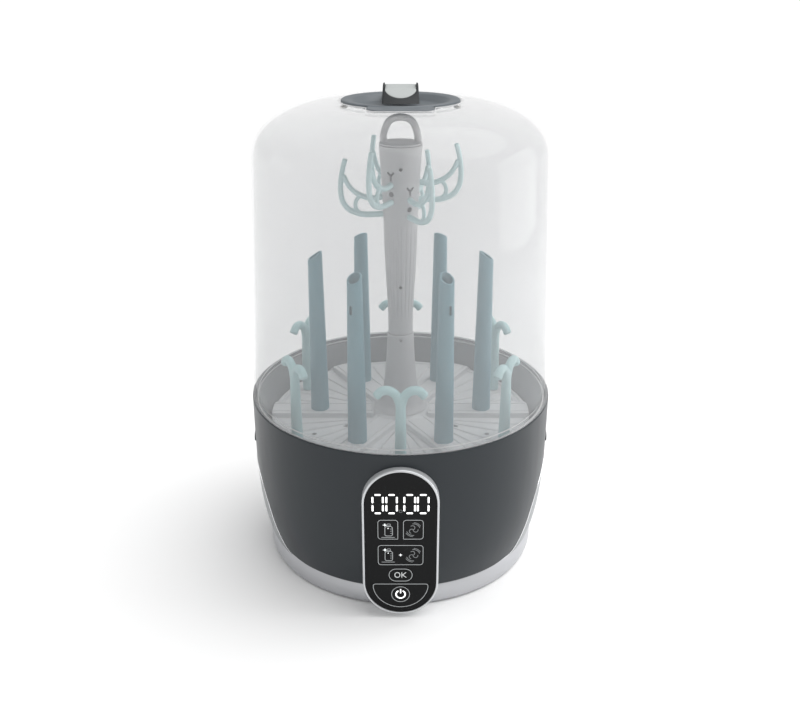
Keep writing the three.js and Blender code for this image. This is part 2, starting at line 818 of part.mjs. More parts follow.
function makeVentPlate() {
  const dish = turned([
    [0, 388.4],
    [30, 388.4],
    [41.9, 395],
    [41.9, 395.5],
    [VENT_PLATE_RADIUS, 395.5],
    [VENT_PLATE_RADIUS, 397.6],
    [VENT_PLATE_RADIUS - 1, VENT_PLATE_TOP],
    [33, 397.4],
    [29.5, 391],
    [0, 390.4],
  ]);
  const tab = upSwept(tabShape(TAB_HALF_WIDTH, TAB_REACH), 395.5, 397.4);
  const dishSpace = bar(40, 380, 400, 0, 0, 24);
  const screwHoles = [-1, 1].map((side) => bar(1.6, 380, 397, side * SCREW_X, 0, 8));
  const plate = cut(joined(dish, cut(tab, dishSpace)), ...screwHoles);
  add(lid, "lid_plate", plate, SLATE, 0.45);

  for (const [side, x] of Object.entries({ left: -SCREW_X, right: SCREW_X })) {
    const screw = joined(bar(3, 390.6, 392.3, x), bar(1.3, 391, 396.6, x, 0, 8));
    add(lid, `lid_screw_${side}`, screw, 0x55585a, 0.4, 0.9);
  }
}

// A band bent to the handle's arc, between two depths below its top, in the side view (y, z).
function handleBand(outerDepth, innerDepth, halfLength) {
  const centre = HANDLE_TOP - HANDLE_ARC_RADIUS;
  const outer = HANDLE_ARC_RADIUS - outerDepth;
  const inner = HANDLE_ARC_RADIUS - innerDepth;
  const spread = Math.asin(halfLength / outer);
  const shape = new THREE.Shape();
  shape.absarc(0, centre, outer, Math.PI / 2 - spread, Math.PI / 2 + spread, false);
  shape.absarc(0, centre, inner, Math.PI / 2 + spread, Math.PI / 2 - spread, true);
  return shape;
}

function makeHandle() {
  const band = sideSwept(handleBand(0, HANDLE_THICKNESS, 40), -HANDLE_HALF_WIDTH, HANDLE_HALF_WIDTH);
  const trimmed = band.intersect(block([-20, -50, HANDLE_FOOT], [20, 50, 420]));
  const ends = INSERT_HALF_LENGTH - INSERT_HALF_WIDTH;
  const insertShape = (growth) => {
    const shape = new THREE.Shape();
    shape.absarc(0, -ends, INSERT_HALF_WIDTH + growth, Math.PI, 2 * Math.PI);
    shape.absarc(0, ends, INSERT_HALF_WIDTH + growth, 0, Math.PI);
    return shape;
  };
  const recess = sideSwept(handleBand(-3, INSERT_THICKNESS + GAP, 40), -20, 20).intersect(
    upSwept(insertShape(GAP), 390, 420),
  );
  add(lid, "lid_handle", cut(trimmed, recess), SLATE, 0.45);
  const grip = sideSwept(handleBand(0, INSERT_THICKNESS, 40), -20, 20).intersect(
    upSwept(insertShape(0), 390, 420),
  );
  add(lid, "lid_grip", grip, 0xcacdcb, 0.5);
}

makeFootRing();
makeBottomCover();
makeRubberFeet();
makeShells();
makeFilter();
makeInlet();
makeBowl();
makeHeater();
makeFan();
makeAirHeater();
makePowerBoard();
makeGripCups();
makePanel();
makeTray();
makePegs();
makeHooks();
makeColumnBase();
makeTreeColumn();
makeHolders();
makeLid();
makeVentPlate();
makeHandle();

export default group;
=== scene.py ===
# Bottle steriliser and dryer: a round base with a touch panel, a bottle rack, a teat tree and a clear lid.
# Lengths are millimetres until a mesh is made, angles run from the front (-Y) towards the right (+X).

import bmesh
import bpy
import numpy as np
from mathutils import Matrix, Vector


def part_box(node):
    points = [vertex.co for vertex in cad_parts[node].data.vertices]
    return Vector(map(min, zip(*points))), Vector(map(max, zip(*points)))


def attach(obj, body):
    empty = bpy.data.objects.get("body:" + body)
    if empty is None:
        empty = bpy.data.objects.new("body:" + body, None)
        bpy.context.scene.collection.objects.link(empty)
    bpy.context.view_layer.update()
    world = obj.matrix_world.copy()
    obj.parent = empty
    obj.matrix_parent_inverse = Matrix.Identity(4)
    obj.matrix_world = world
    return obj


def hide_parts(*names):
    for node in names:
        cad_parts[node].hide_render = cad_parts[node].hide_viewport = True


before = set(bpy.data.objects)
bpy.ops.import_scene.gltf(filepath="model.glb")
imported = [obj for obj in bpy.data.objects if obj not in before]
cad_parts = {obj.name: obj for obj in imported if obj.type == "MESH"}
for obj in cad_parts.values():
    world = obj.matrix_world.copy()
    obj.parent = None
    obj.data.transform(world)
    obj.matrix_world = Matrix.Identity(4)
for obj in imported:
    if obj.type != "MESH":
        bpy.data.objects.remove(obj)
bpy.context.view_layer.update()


# ----------------------------------------------------------
# Studio: a white worktop under a white sky, a broad key light high on the right, and a soft panel at
# each side that the lid mirrors faintly. The camera stands in front and looks down.

def paint(red, green, blue):
    """Linear colour of three display values from 0 to 255, by the usual two-part curve."""
    display = np.array([red, green, blue]) / 255
    linear = np.where(display <= 0.04045, display / 12.92, ((display + 0.055) / 1.055) ** 2.4)
    return (*linear.tolist(), 1.0)


def node(tree, kind, inputs=None, **settings):
    """A shader node whose inputs are given as values or as other nodes' outputs."""
    made = tree.nodes.new("ShaderNode" + kind)
    for name, value in settings.items():
        setattr(made, name, value)
    for name, value in (inputs or {}).items():
        if isinstance(value, bpy.types.NodeSocket):
            tree.links.new(value, made.inputs[name])
        else:
            made.inputs[name].default_value = value
    return made


def maths(tree, operation, *values):
    """The result of a Math node fed with two or three values or outputs."""
    return node(tree, "Math", dict(enumerate(values)), operation=operation).outputs[0]


def shown(name, data):
    """A new object in the scene that shows a mesh, a light or a camera."""
    made = bpy.data.objects.new(name, data)
    bpy.context.scene.collection.objects.link(made)
    return made


def area_light(name, place, target, width, height, power):
    """A soft rectangular light that faces a target."""
    light = bpy.data.lights.new(name, "AREA")
    light.shape = "RECTANGLE"
    light.size = width
    light.size_y = height
    light.energy = power
    lamp = shown(name, light)
    lamp.location = place
    lamp.rotation_euler = (Vector(target) - Vector(place)).to_track_quat("-Z", "Y").to_euler()


CAMERA_PLACE = (0.0, -0.765144, 0.495625)
CAMERA_PITCH = 22.572
CAMERA_LENS = 42.18

camera = shown("camera", bpy.data.cameras.new("camera"))
camera.data.lens = CAMERA_LENS
camera.data.sensor_width = 36
camera.data.shift_x = -0.00075
camera.data.clip_end = 100
camera.location = CAMERA_PLACE
camera.rotation_euler = (np.radians(90 - CAMERA_PITCH), 0, 0)
bpy.context.scene.camera = camera

MIDDLE = (0, 0, 0.2)
area_light("right_panel", (1.1, 0.1, 0.42), MIDDLE, 0.9, 0.75, 5)
area_light("left_panel", (-1.1, 0.1, 0.5), MIDDLE, 0.5, 0.3, 0.9)

key = shown("key_light", bpy.data.lights.new("key_light", "SUN"))
key.data.energy = 2.12
key.data.angle = np.radians(64)
key.rotation_euler = Vector((0.36, 0.06, 0.93)).to_track_quat("Z", "Y").to_euler()

world = bpy.data.worlds.new("white_sky")
world.use_nodes = True
sky = world.node_tree.nodes["Background"]
sky.inputs["Color"].default_value = (1, 1, 1, 1)
seen = node(world.node_tree, "LightPath").outputs["Is Camera Ray"]
glow = maths(world.node_tree, "MULTIPLY_ADD", seen, 0.6, 0.5)
world.node_tree.links.new(glow, sky.inputs["Strength"])
bpy.context.scene.world = world
bpy.context.scene.view_settings.view_transform = "Standard"

FLOOR_REACH = 40
worktop_mesh = bpy.data.meshes.new("worktop")
floor_corners = [(x * FLOOR_REACH, y * FLOOR_REACH, 0) for x, y in ((-1, -1), (1, -1), (1, 1), (-1, 1))]
worktop_mesh.from_pydata(floor_corners, [], [(0, 1, 2, 3)])
worktop_paint = bpy.data.materials.new("white_worktop")
worktop_paint.use_nodes = True
worktop_shader = worktop_paint.node_tree.nodes["Principled BSDF"]
worktop_shader.inputs["Base Color"].default_value = (0.975, 0.975, 0.975, 1)
worktop_shader.inputs["Roughness"].default_value = 0.8
worktop_shader.inputs["Specular IOR Level"].default_value = 0.0
worktop_mesh.materials.append(worktop_paint)
shown("worktop", worktop_mesh)


# ----------------------------------------------------------
# Foot ring: a bright satin band under the base, moulded in plastic with a metal coat and clipped to
# the bottom of both shells.

MM = 0.001
FULL_TURN = 2 * np.pi


def span(part):
    """Lowest and highest corner of a CAD node, in millimetres."""
    low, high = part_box(part)
    return np.array(low) / MM, np.array(high) / MM


def tidied(mesh, crease=32):
    """Merges doubles, drops loose edges, turns faces outwards and smooths all but the sharp edges."""
    work = bmesh.new()
    work.from_mesh(mesh)
    bmesh.ops.remove_doubles(work, verts=work.verts, dist=2e-6)
    loose = [edge for edge in work.edges if not edge.link_faces]
    bmesh.ops.delete(work, geom=loose, context="EDGES")
    bmesh.ops.recalc_face_normals(work, faces=work.faces)
    work.to_mesh(mesh)
    work.free()
    mesh.shade_smooth()
    mesh.set_sharp_from_angle(angle=np.radians(crease))


def surface(name, grid, rows_close=False, columns_close=True, crease=32):
    """Piece whose skin runs through grid[row, column]; open ends are closed by a flat face."""
    rows, columns = grid.shape[:2]
    i = np.arange(rows if rows_close else rows - 1)[:, None]
    j = np.arange(columns if columns_close else columns - 1)[None, :]
    after_i = (i + 1) % rows
    after_j = (j + 1) % columns
    corners = [i * columns + j, after_i * columns + j, after_i * columns + after_j, i * columns + after_j]
    size = (i.size, j.size)
    faces = np.stack([np.broadcast_to(corner, size) for corner in corners], axis=-1).reshape(-1, 4).tolist()
    if not rows_close:
        for first in (0, (rows - 1) * columns):
            ring = grid.reshape(-1, 3)[first:first + columns]
            if np.ptp(ring, axis=0).max() > 0.01:
                faces.append(list(range(first, first + columns)))
    mesh = bpy.data.meshes.new(name)
    mesh.from_pydata((grid.reshape(-1, 3) * MM).tolist(), [], faces)
    tidied(mesh, crease)
    return shown(name, mesh)


def softened(corners, steps=5):
    """Closed outline of (a, b, softness) corners, each rounded by a parabola over that distance."""
    corners = np.array(corners, float)
    here = corners[:, None, :2]
    reach = corners[:, None, 2:]
    arms = []
    for shift in (1, -1):
        arm = np.roll(corners[:, None, :2], shift, axis=0) - here
        length = np.maximum(np.linalg.norm(arm, axis=2, keepdims=True), 1e-9)
        arms.append(here + arm / length * np.minimum(reach, 0.48 * length))
    t = np.linspace(0, 1, steps)[None, :, None]
    return ((1 - t) ** 2 * arms[0] + 2 * t * (1 - t) * here + t ** 2 * arms[1]).reshape(-1, 2)


def around(angle, radius, height):
    """Points at an angle from the front, a radius and a height."""
    angle, radius, height = np.broadcast_arrays(angle, radius, height)
    return np.stack([radius * np.sin(angle), -radius * np.cos(angle), height], axis=-1)


def bearings(count):
    """Even angles round the whole turn, from the front."""
    return np.linspace(0, FULL_TURN, count, endpoint=False)


def turned(name, profile, columns=144, centre=(0, 0)):
    """A closed (radius, height) profile carried round an upright axis."""
    grid = around(bearings(columns)[None, :], profile[:, None, 0], profile[:, None, 1])
    return surface(name, grid + [centre[0], centre[1], 0], rows_close=True)


def new_group(name, **values):
    """An empty shader node group and its input sockets, each a colour or a number."""
    group = bpy.data.node_groups.new(name, "ShaderNodeTree")
    for label, value in values.items():
        kind = "NodeSocketColor" if isinstance(value, tuple) else "NodeSocketFloat"
        group.interface.new_socket(label, in_out="INPUT", socket_type=kind).default_value = value
    return group, group.nodes.new("NodeGroupInput").outputs


def closed_group(group, **results):
    """The group with its results put out: a Colour, and numbers under their own names."""
    for label in results:
        kind = "NodeSocketColor" if label == "Colour" else "NodeSocketFloat"
        group.interface.new_socket(label, in_out="OUTPUT", socket_type=kind)
    way_out = group.nodes.new("NodeGroupOutput")
    for label, result in results.items():
        group.links.new(result, way_out.inputs[label])
    return group


def object_noise(tree, scale, detail=2.0, stretch=None):
    """Noise that is fixed to the piece, drawn out by a stretch along its axes."""
    place = node(tree, "TexCoord").outputs["Object"]
    if stretch:
        place = node(tree, "Mapping", {"Vector": place, "Scale": stretch}).outputs["Vector"]
    return node(tree, "TexNoise", {"Vector": place, "Scale": scale, "Detail": detail}).outputs["Fac"]


def shade(tree, colour, amount, variation):
    """The colour made lighter and darker by a variation where the amount is over or under a half."""
    factor = maths(tree, "MULTIPLY_ADD", maths(tree, "SUBTRACT", amount, 0.5), variation, 1.0)
    return node(tree, "VectorMath", {0: colour, "Scale": factor}, operation="SCALE").outputs[0]


def brushed_group():
    """Fine lines left by brushing along X and Y, with a slow change of shade and polish."""
    group, given = new_group("brushed_lines", Colour=(0.7, 0.7, 0.7, 1), Roughness=0.25, Variation=0.1)
    lines = object_noise(group, 1.0, 3.0, (20, 20, 3200))
    blend = maths(group, "ADD", lines, object_noise(group, 14.0))
    tint = shade(group, given["Colour"], maths(group, "MULTIPLY", blend, 0.5), given["Variation"])
    rough = maths(group, "MULTIPLY_ADD", lines, 0.12, given["Roughness"])
    return closed_group(group, Colour=tint, Roughness=rough, Height=lines)


BRUSHED = brushed_group()


def material_from(name, group, values, bump, depth=0.0001, extra=(), **shader_values):
    """A material whose colour, roughness, relief and extra sockets a group feeds, with plain shader values."""
    material = bpy.data.materials.new(name)
    material.use_nodes = True
    tree = material.node_tree
    shader = tree.nodes["Principled BSDF"]
    effect = tree.nodes.new("ShaderNodeGroup")
    effect.node_tree = group
    for label, value in values.items():
        effect.inputs[label].default_value = value
    relief = node(tree, "Bump", {"Strength": bump, "Distance": depth, "Height": effect.outputs["Height"]})
    for given, taken in (("Colour", "Base Color"), ("Roughness", "Roughness"), *extra):
        tree.links.new(effect.outputs[given], shader.inputs[taken])
    tree.links.new(relief.outputs["Normal"], shader.inputs["Normal"])
    for label, value in shader_values.items():
        shader.inputs[label.replace("_", " ")].default_value = value
    return material


def metal(name, colour, roughness, metallic=0.9, variation=0.1):
    values = {"Colour": colour, "Roughness": roughness, "Variation": variation}
    return material_from(name, BRUSHED, values, 0.08, Metallic=metallic)


def fitted(piece, material, body, slot, *parts):
    """Gives a finished piece its material, the body it moves with and the CAD nodes it stands for."""
    piece.data.materials.clear()
    piece.data.materials.append(material)
    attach(piece, body)
    if parts:
        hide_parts(*parts)


RING_LOW, RING_HIGH = span("foot_ring")
RING_RADIUS = RING_HIGH[0]
ring_profile = softened([
    (115, RING_LOW[2], 0),
    (RING_RADIUS - 1.9, RING_LOW[2], 1.2),
    (RING_RADIUS, RING_LOW[2] + 4, 3),
    (RING_RADIUS - 0.1, RING_LOW[2] + 11, 4),
    (RING_RADIUS - 1.5, RING_HIGH[2], 0.7),
    (115, RING_HIGH[2], 0),
])
foot_ring = turned("foot_ring_band", ring_profile, 192)
SATIN = metal("satin_metal", paint(194, 195, 198), 0.34, 0.75)
fitted(foot_ring, SATIN, "base", "silver_satin", "foot_ring")


# ----------------------------------------------------------
# Underside: a dark ribbed plastic cover screwed into the shells from below, with air slots towards the
# front, and four rubber discs pressed into it.

def applied(piece):
    """Makes the piece's modifiers part of its mesh."""
    graph = bpy.context.evaluated_depsgraph_get()
    mesh = bpy.data.meshes.new_from_object(piece.evaluated_get(graph))
    piece.modifiers.clear()
    old = piece.data
    piece.data = mesh
    bpy.data.meshes.remove(old)
    return piece


def discard(piece):
    mesh = piece.data
    bpy.data.objects.remove(piece)
    bpy.data.meshes.remove(mesh)


def gathered(name, pieces):
    """One piece holding several separate closed bodies."""
    work = bmesh.new()
    for piece in pieces:
        work.from_mesh(piece.data)
        discard(piece)
    mesh = bpy.data.meshes.new(name)
    work.to_mesh(mesh)
    work.free()
    mesh.shade_smooth()
    mesh.set_sharp_from_angle(angle=np.radians(32))
    return shown(name, mesh)


def carved(piece, tools, operation="DIFFERENCE", crease=32):
    """Cuts the tools out of a piece, or joins them to it."""
    tool = gathered("tool", tools)
    change = piece.modifiers.new("carve", "BOOLEAN")
    change.operation = operation
    change.solver = "EXACT"
    change.object = tool
    applied(piece)
    discard(tool)
    tidied(piece.data, crease)
    return piece


def rounded_outline(left, bottom, right, top, radii, steps=8):
    """Rectangle with quarter-circle corners of one radius or four, from the lower left anticlockwise."""
    centres = np.array([(left, bottom), (right, bottom), (right, top), (left, top)], float)
    radii = np.broadcast_to(radii, 4)
    inward = np.array([(1, 1), (-1, 1), (-1, -1), (1, -1)])
    turn = np.linspace(0, np.pi / 2, steps)[None, :] + np.radians([[180], [270], [0], [90]])
    middle = centres + inward * radii[:, None]
    arcs = middle[:, None, :] + radii[:, None, None] * np.stack([np.cos(turn), np.sin(turn)], axis=-1)
    return arcs.reshape(-1, 2)


def unit(vectors):
    """The vectors made one long."""
    return vectors / np.maximum(np.linalg.norm(vectors, axis=1, keepdims=True), 1e-9)


def left_of(along):
    """Unit vectors square to flat ones, on their left."""
    return unit(np.stack([-along[:, 1], along[:, 0]], axis=1))


def shrunk(outline, inset):
    """The closed outline moved inwards, square to its own run."""
    return outline + inset * left_of(np.roll(outline, -1, axis=0) - np.roll(outline, 1, axis=0))


FRONT_VIEW = ((1, 0, 0), (0, 0, 1), (0, 1, 0))
TOP_VIEW = ((1, 0, 0), (0, 1, 0), (0, 0, 1))


def slab(name, outline, levels, view=TOP_VIEW, crease=32):
    """An outline carried straight through (inset, distance) levels and closed flat at both ends."""
    across, up, along = np.array(view, float)
    rings = []
    for inset, distance in levels:
        flat = shrunk(outline, inset)
        rings.append(flat[:, :1] * across + flat[:, 1:] * up + distance * along)
    return surface(name, np.array(rings), crease=crease)


def plastic_group():
    """Moulded plastic: fine grain, a slow change of shade, and faint marks from wiping."""
    group, given = new_group(
        "moulded_plastic", Colour=(0.5, 0.5, 0.5, 1), Roughness=0.4, Variation=0.06, Marks=0.08, Grain=1800.0)
    tint = shade(group, given["Colour"], object_noise(group, 9.0, 3.0), given["Variation"])
    wiped = maths(group, "SUBTRACT", object_noise(group, 1.0, 4.0, (60, 60, 14)), 0.5)
    rough = maths(group, "MULTIPLY_ADD", wiped, given["Marks"], given["Roughness"])
    return closed_group(group, Colour=tint, Roughness=rough, Height=object_noise(group, given["Grain"], 1.0))


PLASTIC = plastic_group()


def plastic(name, colour, roughness, variation=0.08, marks=0.12, grain=1800.0, bump=0.06, **shader_values):
    values = {"Colour": colour, "Roughness": roughness, "Variation": variation, "Marks": marks, "Grain": grain}
    return material_from(name, PLASTIC, values, bump, **shader_values)


cover_low, cover_high = span("bottom_cover")
cover_radius = cover_high[0]
cover_steps = np.linspace(20, cover_radius - 4, 6)
cover_ribs = [corner for radius in cover_steps for corner in (
    (radius - 1.2, cover_low[2] + 0.8, 0.3), (radius - 1.0, cover_low[2], 0.3),
    (radius + 1.0, cover_low[2], 0.3), (radius + 1.2, cover_low[2] + 0.8, 0.3))]
cover_profile = softened([
    (0, cover_low[2] + 0.8, 0), *cover_ribs, (cover_radius, cover_low[2] + 0.4, 0.3),
    (cover_radius, cover_high[2], 0.3), (0, cover_high[2], 0)], 3)
bottom_cover = turned("bottom_cover_ribbed", cover_profile, 96)
SLOT_PITCH = 9
air_slots = [
    slab("air_slot", rounded_outline(-30, row * SLOT_PITCH - 42, 30, row * SLOT_PITCH - 38, 1.9, 5),
         [(0, 0), (0, 8)])
    for row in range(-2, 3)]
carved(bottom_cover, air_slots)
UNDERSIDE = plastic("underside_plastic", paint(46, 50, 53), 0.6, bump=0.15, grain=900.0)
fitted(bottom_cover, UNDERSIDE, "base", "dark_plastic", "bottom_cover")

RUBBER = plastic("black_rubber", paint(30, 31, 32), 0.85, marks=0.2, bump=0.3, grain=700.0)
for number in range(1, 5):
    low, high = span(f"rubber_foot_{number}")
    centre = (low + high) / 2
    radius = (high[0] - low[0]) / 2
    disc = softened([
        (0, low[2] + 0.4, 0), (radius - 3, low[2] + 0.4, 0.3), (radius - 2.6, low[2], 0.3),
        (radius - 0.6, low[2], 0.5), (radius, low[2] + 0.8, 0.4), (radius, high[2], 0), (0, high[2], 0)], 4)
    fitted(turned(f"rubber_disc_{number}", disc, 40, centre), RUBBER, "base", "rubber_black",
           f"rubber_foot_{number}")


# ----------------------------------------------------------
# Shells: two injection-moulded walls that meet along one sweeping line. The dark front shell hangs
# down as a bib behind the panel and runs round the rim, the grey rear shell fills in below it, and a
# bright strip lies in the seam.

FRONT_LOW, FRONT_HIGH = span("front_shell")
RIM_HEIGHT = FRONT_HIGH[2]
SHELL_BOTTOM = FRONT_LOW[2]
RIM_RADIUS = 131
BASE_TAPER = 9.9
SHELL_WALL = 2.4
SEAM_GAP = 1.35
STRIP_HALF_WIDTH = 1.1
SEAM_POINTS = [
    (-90, 18), (-78, 20), (-70, 25.5), (-63.5, 42), (-57, 62),
    (-45, 77), (-20, 88), (20, 92.5), (75, 94), (140, 94.5)]


def base_radius(height):
    """Radius of the base: the rim's, less a drop that grows with the fourth power downwards."""
    return RIM_RADIUS - BASE_TAPER * ((RIM_HEIGHT - height) / (RIM_HEIGHT - 20)) ** 4


def smooth_path(points, steps=12):
    """Curve through the points, each stretch a cubic whose slopes come from the points either side."""
    points = np.array(points, float)
    padded = np.vstack([2 * points[0] - points[1], points, 2 * points[-1] - points[-2]])
    before, here, there, after = (padded[k:len(points) - 1 + k][:, None] for k in range(4))
    t = np.linspace(0, 1, steps, endpoint=False)[None, :, None]
    curve = 0.5 * (
        2 * here + (there - before) * t + (2 * before - 5 * here + 4 * there - after) * t ** 2
        + (3 * here - before - 3 * there + after) * t ** 3)
    return np.vstack([curve.reshape(-1, points.shape[1]), points[-1:]])


def run_of(path):
    """Length along a path up to each of its points."""
    return np.concatenate([[0], np.cumsum(np.linalg.norm(np.diff(path, axis=0), axis=1))])


def points_at(path, places):
    """Points at the given lengths along a path."""
    return np.stack([np.interp(places, run_of(path), axis) for axis in path.T], axis=1)


def evenly(path, count):
    """Points at equal steps of length along a path."""
    return points_at(path, np.linspace(0, run_of(path)[-1], count))


def seam(offset):
    """(angle, height) points along the seam on the right, moved up or down square to it."""
    side = smooth_path(SEAM_POINTS, 24)
    angle = np.arccos(np.clip(-side[:, 0] / base_radius(side[:, 1]), -1, 1))
    last = np.argmax(angle >= np.pi - 1e-9)
    flat = np.stack([angle[:last] * RIM_RADIUS, side[:last, 1]], axis=1)
    flat = evenly(np.vstack([flat, [np.pi * RIM_RADIUS, side[last, 1]]]), 150)
    moved = flat + offset * left_of(np.gradient(flat, axis=0))
    moved[-1, 0] = np.pi * RIM_RADIUS
    return moved[:, 0] / RIM_RADIUS, moved[:, 1]


def wall_grid(angles, bottom, top, wall, steps=14):
    """Down the outside and up the inside of a wall that follows the base's side, with eased edges."""
    share = np.linspace(0.012, 0.988, steps)
    rows = [(0.45, top), (0.12, top - 0.18), (0, top - 0.5), *((0, top - s * (top - bottom)) for s in share),
            (0, bottom + 0.5), (0.12, bottom + 0.18), (0.45, bottom), (wall - 0.45, bottom),
            *((wall, bottom + s * (top - bottom)) for s in share), (wall - 0.45, top)]
    return np.array([around(angles, base_radius(height) - depth, height) for depth, height in rows])


def sector(name, section, half_angle, middle_angle, columns=24):
    """A closed (radius, height) section carried round Z through part of a turn."""
    angles = middle_angle + np.linspace(-half_angle, half_angle, columns)
    return surface(name, around(angles[:, None], section[None, :, 0], section[None, :, 1]))


def window(bottom, top, half_width, middle_angle):
    """A block that cuts a window with a small gap above and below through a wall."""
    section = np.array([(100, bottom - 0.3), (150, bottom - 0.3), (150, top + 0.3), (100, top + 0.3)])
    return sector("window", section, np.arcsin(half_width / RIM_RADIUS), middle_angle)


def both_sides(angle, height):
    """A run along the right side followed by its mirror image on the left."""
    return np.concatenate([angle, FULL_TURN - angle[-2::-1]]), np.concatenate([height, height[-2::-1]])


front_angle, front_edge = seam(SEAM_GAP)
front_edge = np.maximum(front_edge, SHELL_BOTTOM)
bib_angle = np.linspace(0, front_angle[0], 50)[:-1]
half_angle = np.concatenate([bib_angle, front_angle])
half_edge = np.concatenate([np.full(bib_angle.size, SHELL_BOTTOM), front_edge])
shell_angles = np.concatenate([half_angle, FULL_TURN - half_angle[-2:0:-1]])
shell_bottom = np.concatenate([half_edge, half_edge[-2:0:-1]])
front_shell = surface(
    "front_shell_wall",
    wall_grid(shell_angles, shell_bottom, np.full_like(shell_bottom, RIM_HEIGHT), SHELL_WALL),
    rows_close=True)

GRIP_LOW, GRIP_HIGH = span("grip_cup_right")
GRIP_HALF_WIDTH = 26
grip_windows = [window(GRIP_LOW[2], GRIP_HIGH[2], GRIP_HALF_WIDTH, side * np.pi / 2) for side in (-1, 1)]
panel_window = slab("window", rounded_outline(-24, 26, 24, 120, 4), [(0, -150), (0, -100)], FRONT_VIEW)
carved(front_shell, [*grip_windows, panel_window])
SLATE = plastic("slate_plastic", paint(44, 49, 53), 0.36, variation=0.12, marks=0.16, bump=0.05,
                Specular_IOR_Level=0.3)
fitted(front_shell, SLATE, "base", "slate", "front_shell")

rear_angle, rear_edge = seam(-SEAM_GAP)
kept = rear_edge > SHELL_BOTTOM + 0.8
rear_angles, rear_top = both_sides(rear_angle[kept], rear_edge[kept])
rear_rows = wall_grid(rear_angles, np.full_like(rear_top, SHELL_BOTTOM), rear_top, SHELL_WALL)
rear_shell = surface("rear_shell_wall", rear_rows.transpose(1, 0, 2))

COVER_LOW, COVER_HIGH = span("filter_cover")
INLET_LOW, INLET_HIGH = span("power_inlet")
INLET_TURN = np.radians(148)
carved(rear_shell, [
    window(COVER_LOW[2], COVER_HIGH[2], 33, np.pi), window(INLET_LOW[2], INLET_HIGH[2], 16, INLET_TURN)])
REAR_GREY = plastic("grey_plastic", paint(150, 153, 155), 0.42, bump=0.1)
fitted(rear_shell, REAR_GREY, "base", "shell_grey", "rear_shell")

strip_section = softened([
    (-STRIP_HALF_WIDTH, 1.8, 0), (-STRIP_HALF_WIDTH, -0.3, 0.5),
    (STRIP_HALF_WIDTH, -0.3, 0.5), (STRIP_HALF_WIDTH, 1.8, 0)], 4)
strip_runs = [seam(offset) for offset in strip_section[:, 0]]
above_ring = np.all([height > SHELL_BOTTOM + 0.6 for angle, height in strip_runs], axis=0)
strip_grid = []
for (angle, height), depth in zip(strip_runs, strip_section[:, 1]):
    angle, height = both_sides(angle[above_ring], height[above_ring])
    strip_grid.append(around(angle, base_radius(height) - depth, height))
trim_strip = surface("trim_strip_band", np.array(strip_grid).transpose(1, 0, 2))
CHROME = metal("bright_trim", paint(226, 227, 229), 0.16, 0.95, 0.05)
fitted(trim_strip, CHROME, "base", "chrome_trim", "trim_strip")


# ----------------------------------------------------------
# Finger grips: dark plastic pockets set into the shell on both sides, each with a lip over its top that
# the fingers pull against. They snap in from outside.

GRIP_DARK = plastic("grip_plastic", paint(48, 53, 57), 0.5, bump=0.12)
grip_inner = GRIP_LOW[0]
grip_half_angle = np.arcsin(GRIP_HALF_WIDTH / RIM_RADIUS)
grip_block = softened([
    (grip_inner, GRIP_LOW[2], 0.5), (base_radius(GRIP_LOW[2]) - 0.1, GRIP_LOW[2], 0.3),
    (base_radius(GRIP_HIGH[2]), GRIP_HIGH[2] - 1.6, 0.2), (GRIP_HIGH[0] - 0.05, GRIP_HIGH[2] - 1.4, 0.5),
    (GRIP_HIGH[0] - 0.05, GRIP_HIGH[2], 0.6), (grip_inner, GRIP_HIGH[2], 0.5)])
grip_hollow = softened([
    (grip_inner + 1.6, GRIP_LOW[2] + 1.5, 2.5), (150, GRIP_LOW[2] + 1.5, 0), (150, GRIP_HIGH[2] - 1.5, 0),
    (grip_inner + 1.6, GRIP_HIGH[2] - 1.5, 2.5)])
for side, part in ((-1, "grip_cup_left"), (1, "grip_cup_right")):
    pocket = sector(f"{part}_pocket", grip_block, grip_half_angle - 0.003, side * np.pi / 2)
    carved(pocket, [sector("hollow", grip_hollow, grip_half_angle - 0.018, side * np.pi / 2)])
    fitted(pocket, GRIP_DARK, "base", "dark_plastic", part)


# ----------------------------------------------------------
# Air intake: a slotted grey plastic cover clips into a window at the back of the shell. Behind it sits a
# white pleated felt pad, which slides out the same way to be changed.

COVER_PROUD = 2.7
cover_heights = np.linspace(COVER_LOW[2] + 1.5, COVER_HIGH[2] - 1.5, 8)
cover_outside = [(base_radius(height) + COVER_PROUD, height, 0.2) for height in cover_heights]
foot_radius, head_radius = base_radius(COVER_LOW[2]), base_radius(COVER_HIGH[2])
cover_section = softened([
    (foot_radius - 3.2, COVER_LOW[2], 0), (foot_radius + 0.6, COVER_LOW[2], 0.8), *cover_outside,
    (head_radius + 0.6, COVER_HIGH[2], 0.8), (head_radius - 3.2, COVER_HIGH[2], 0)], 4)
cover_half_angle = np.arcsin(31.5 / (RIM_RADIUS - 2))
filter_cover = sector("filter_cover_slotted", cover_section, cover_half_angle, np.pi, 40)
GRILLE_PITCH = 6.6
grille = []
for row in range(5):
    bottom = COVER_LOW[2] - 0.3 + 4.5 + row * GRILLE_PITCH
    grille.append(slab("slot", rounded_outline(-26, bottom, 26, bottom + 4, 1.9, 5),
                       [(0, 90), (0, 150)], FRONT_VIEW))
carved(filter_cover, grille)
fitted(filter_cover, REAR_GREY, "filter_cover", "shell_grey", "filter_cover")

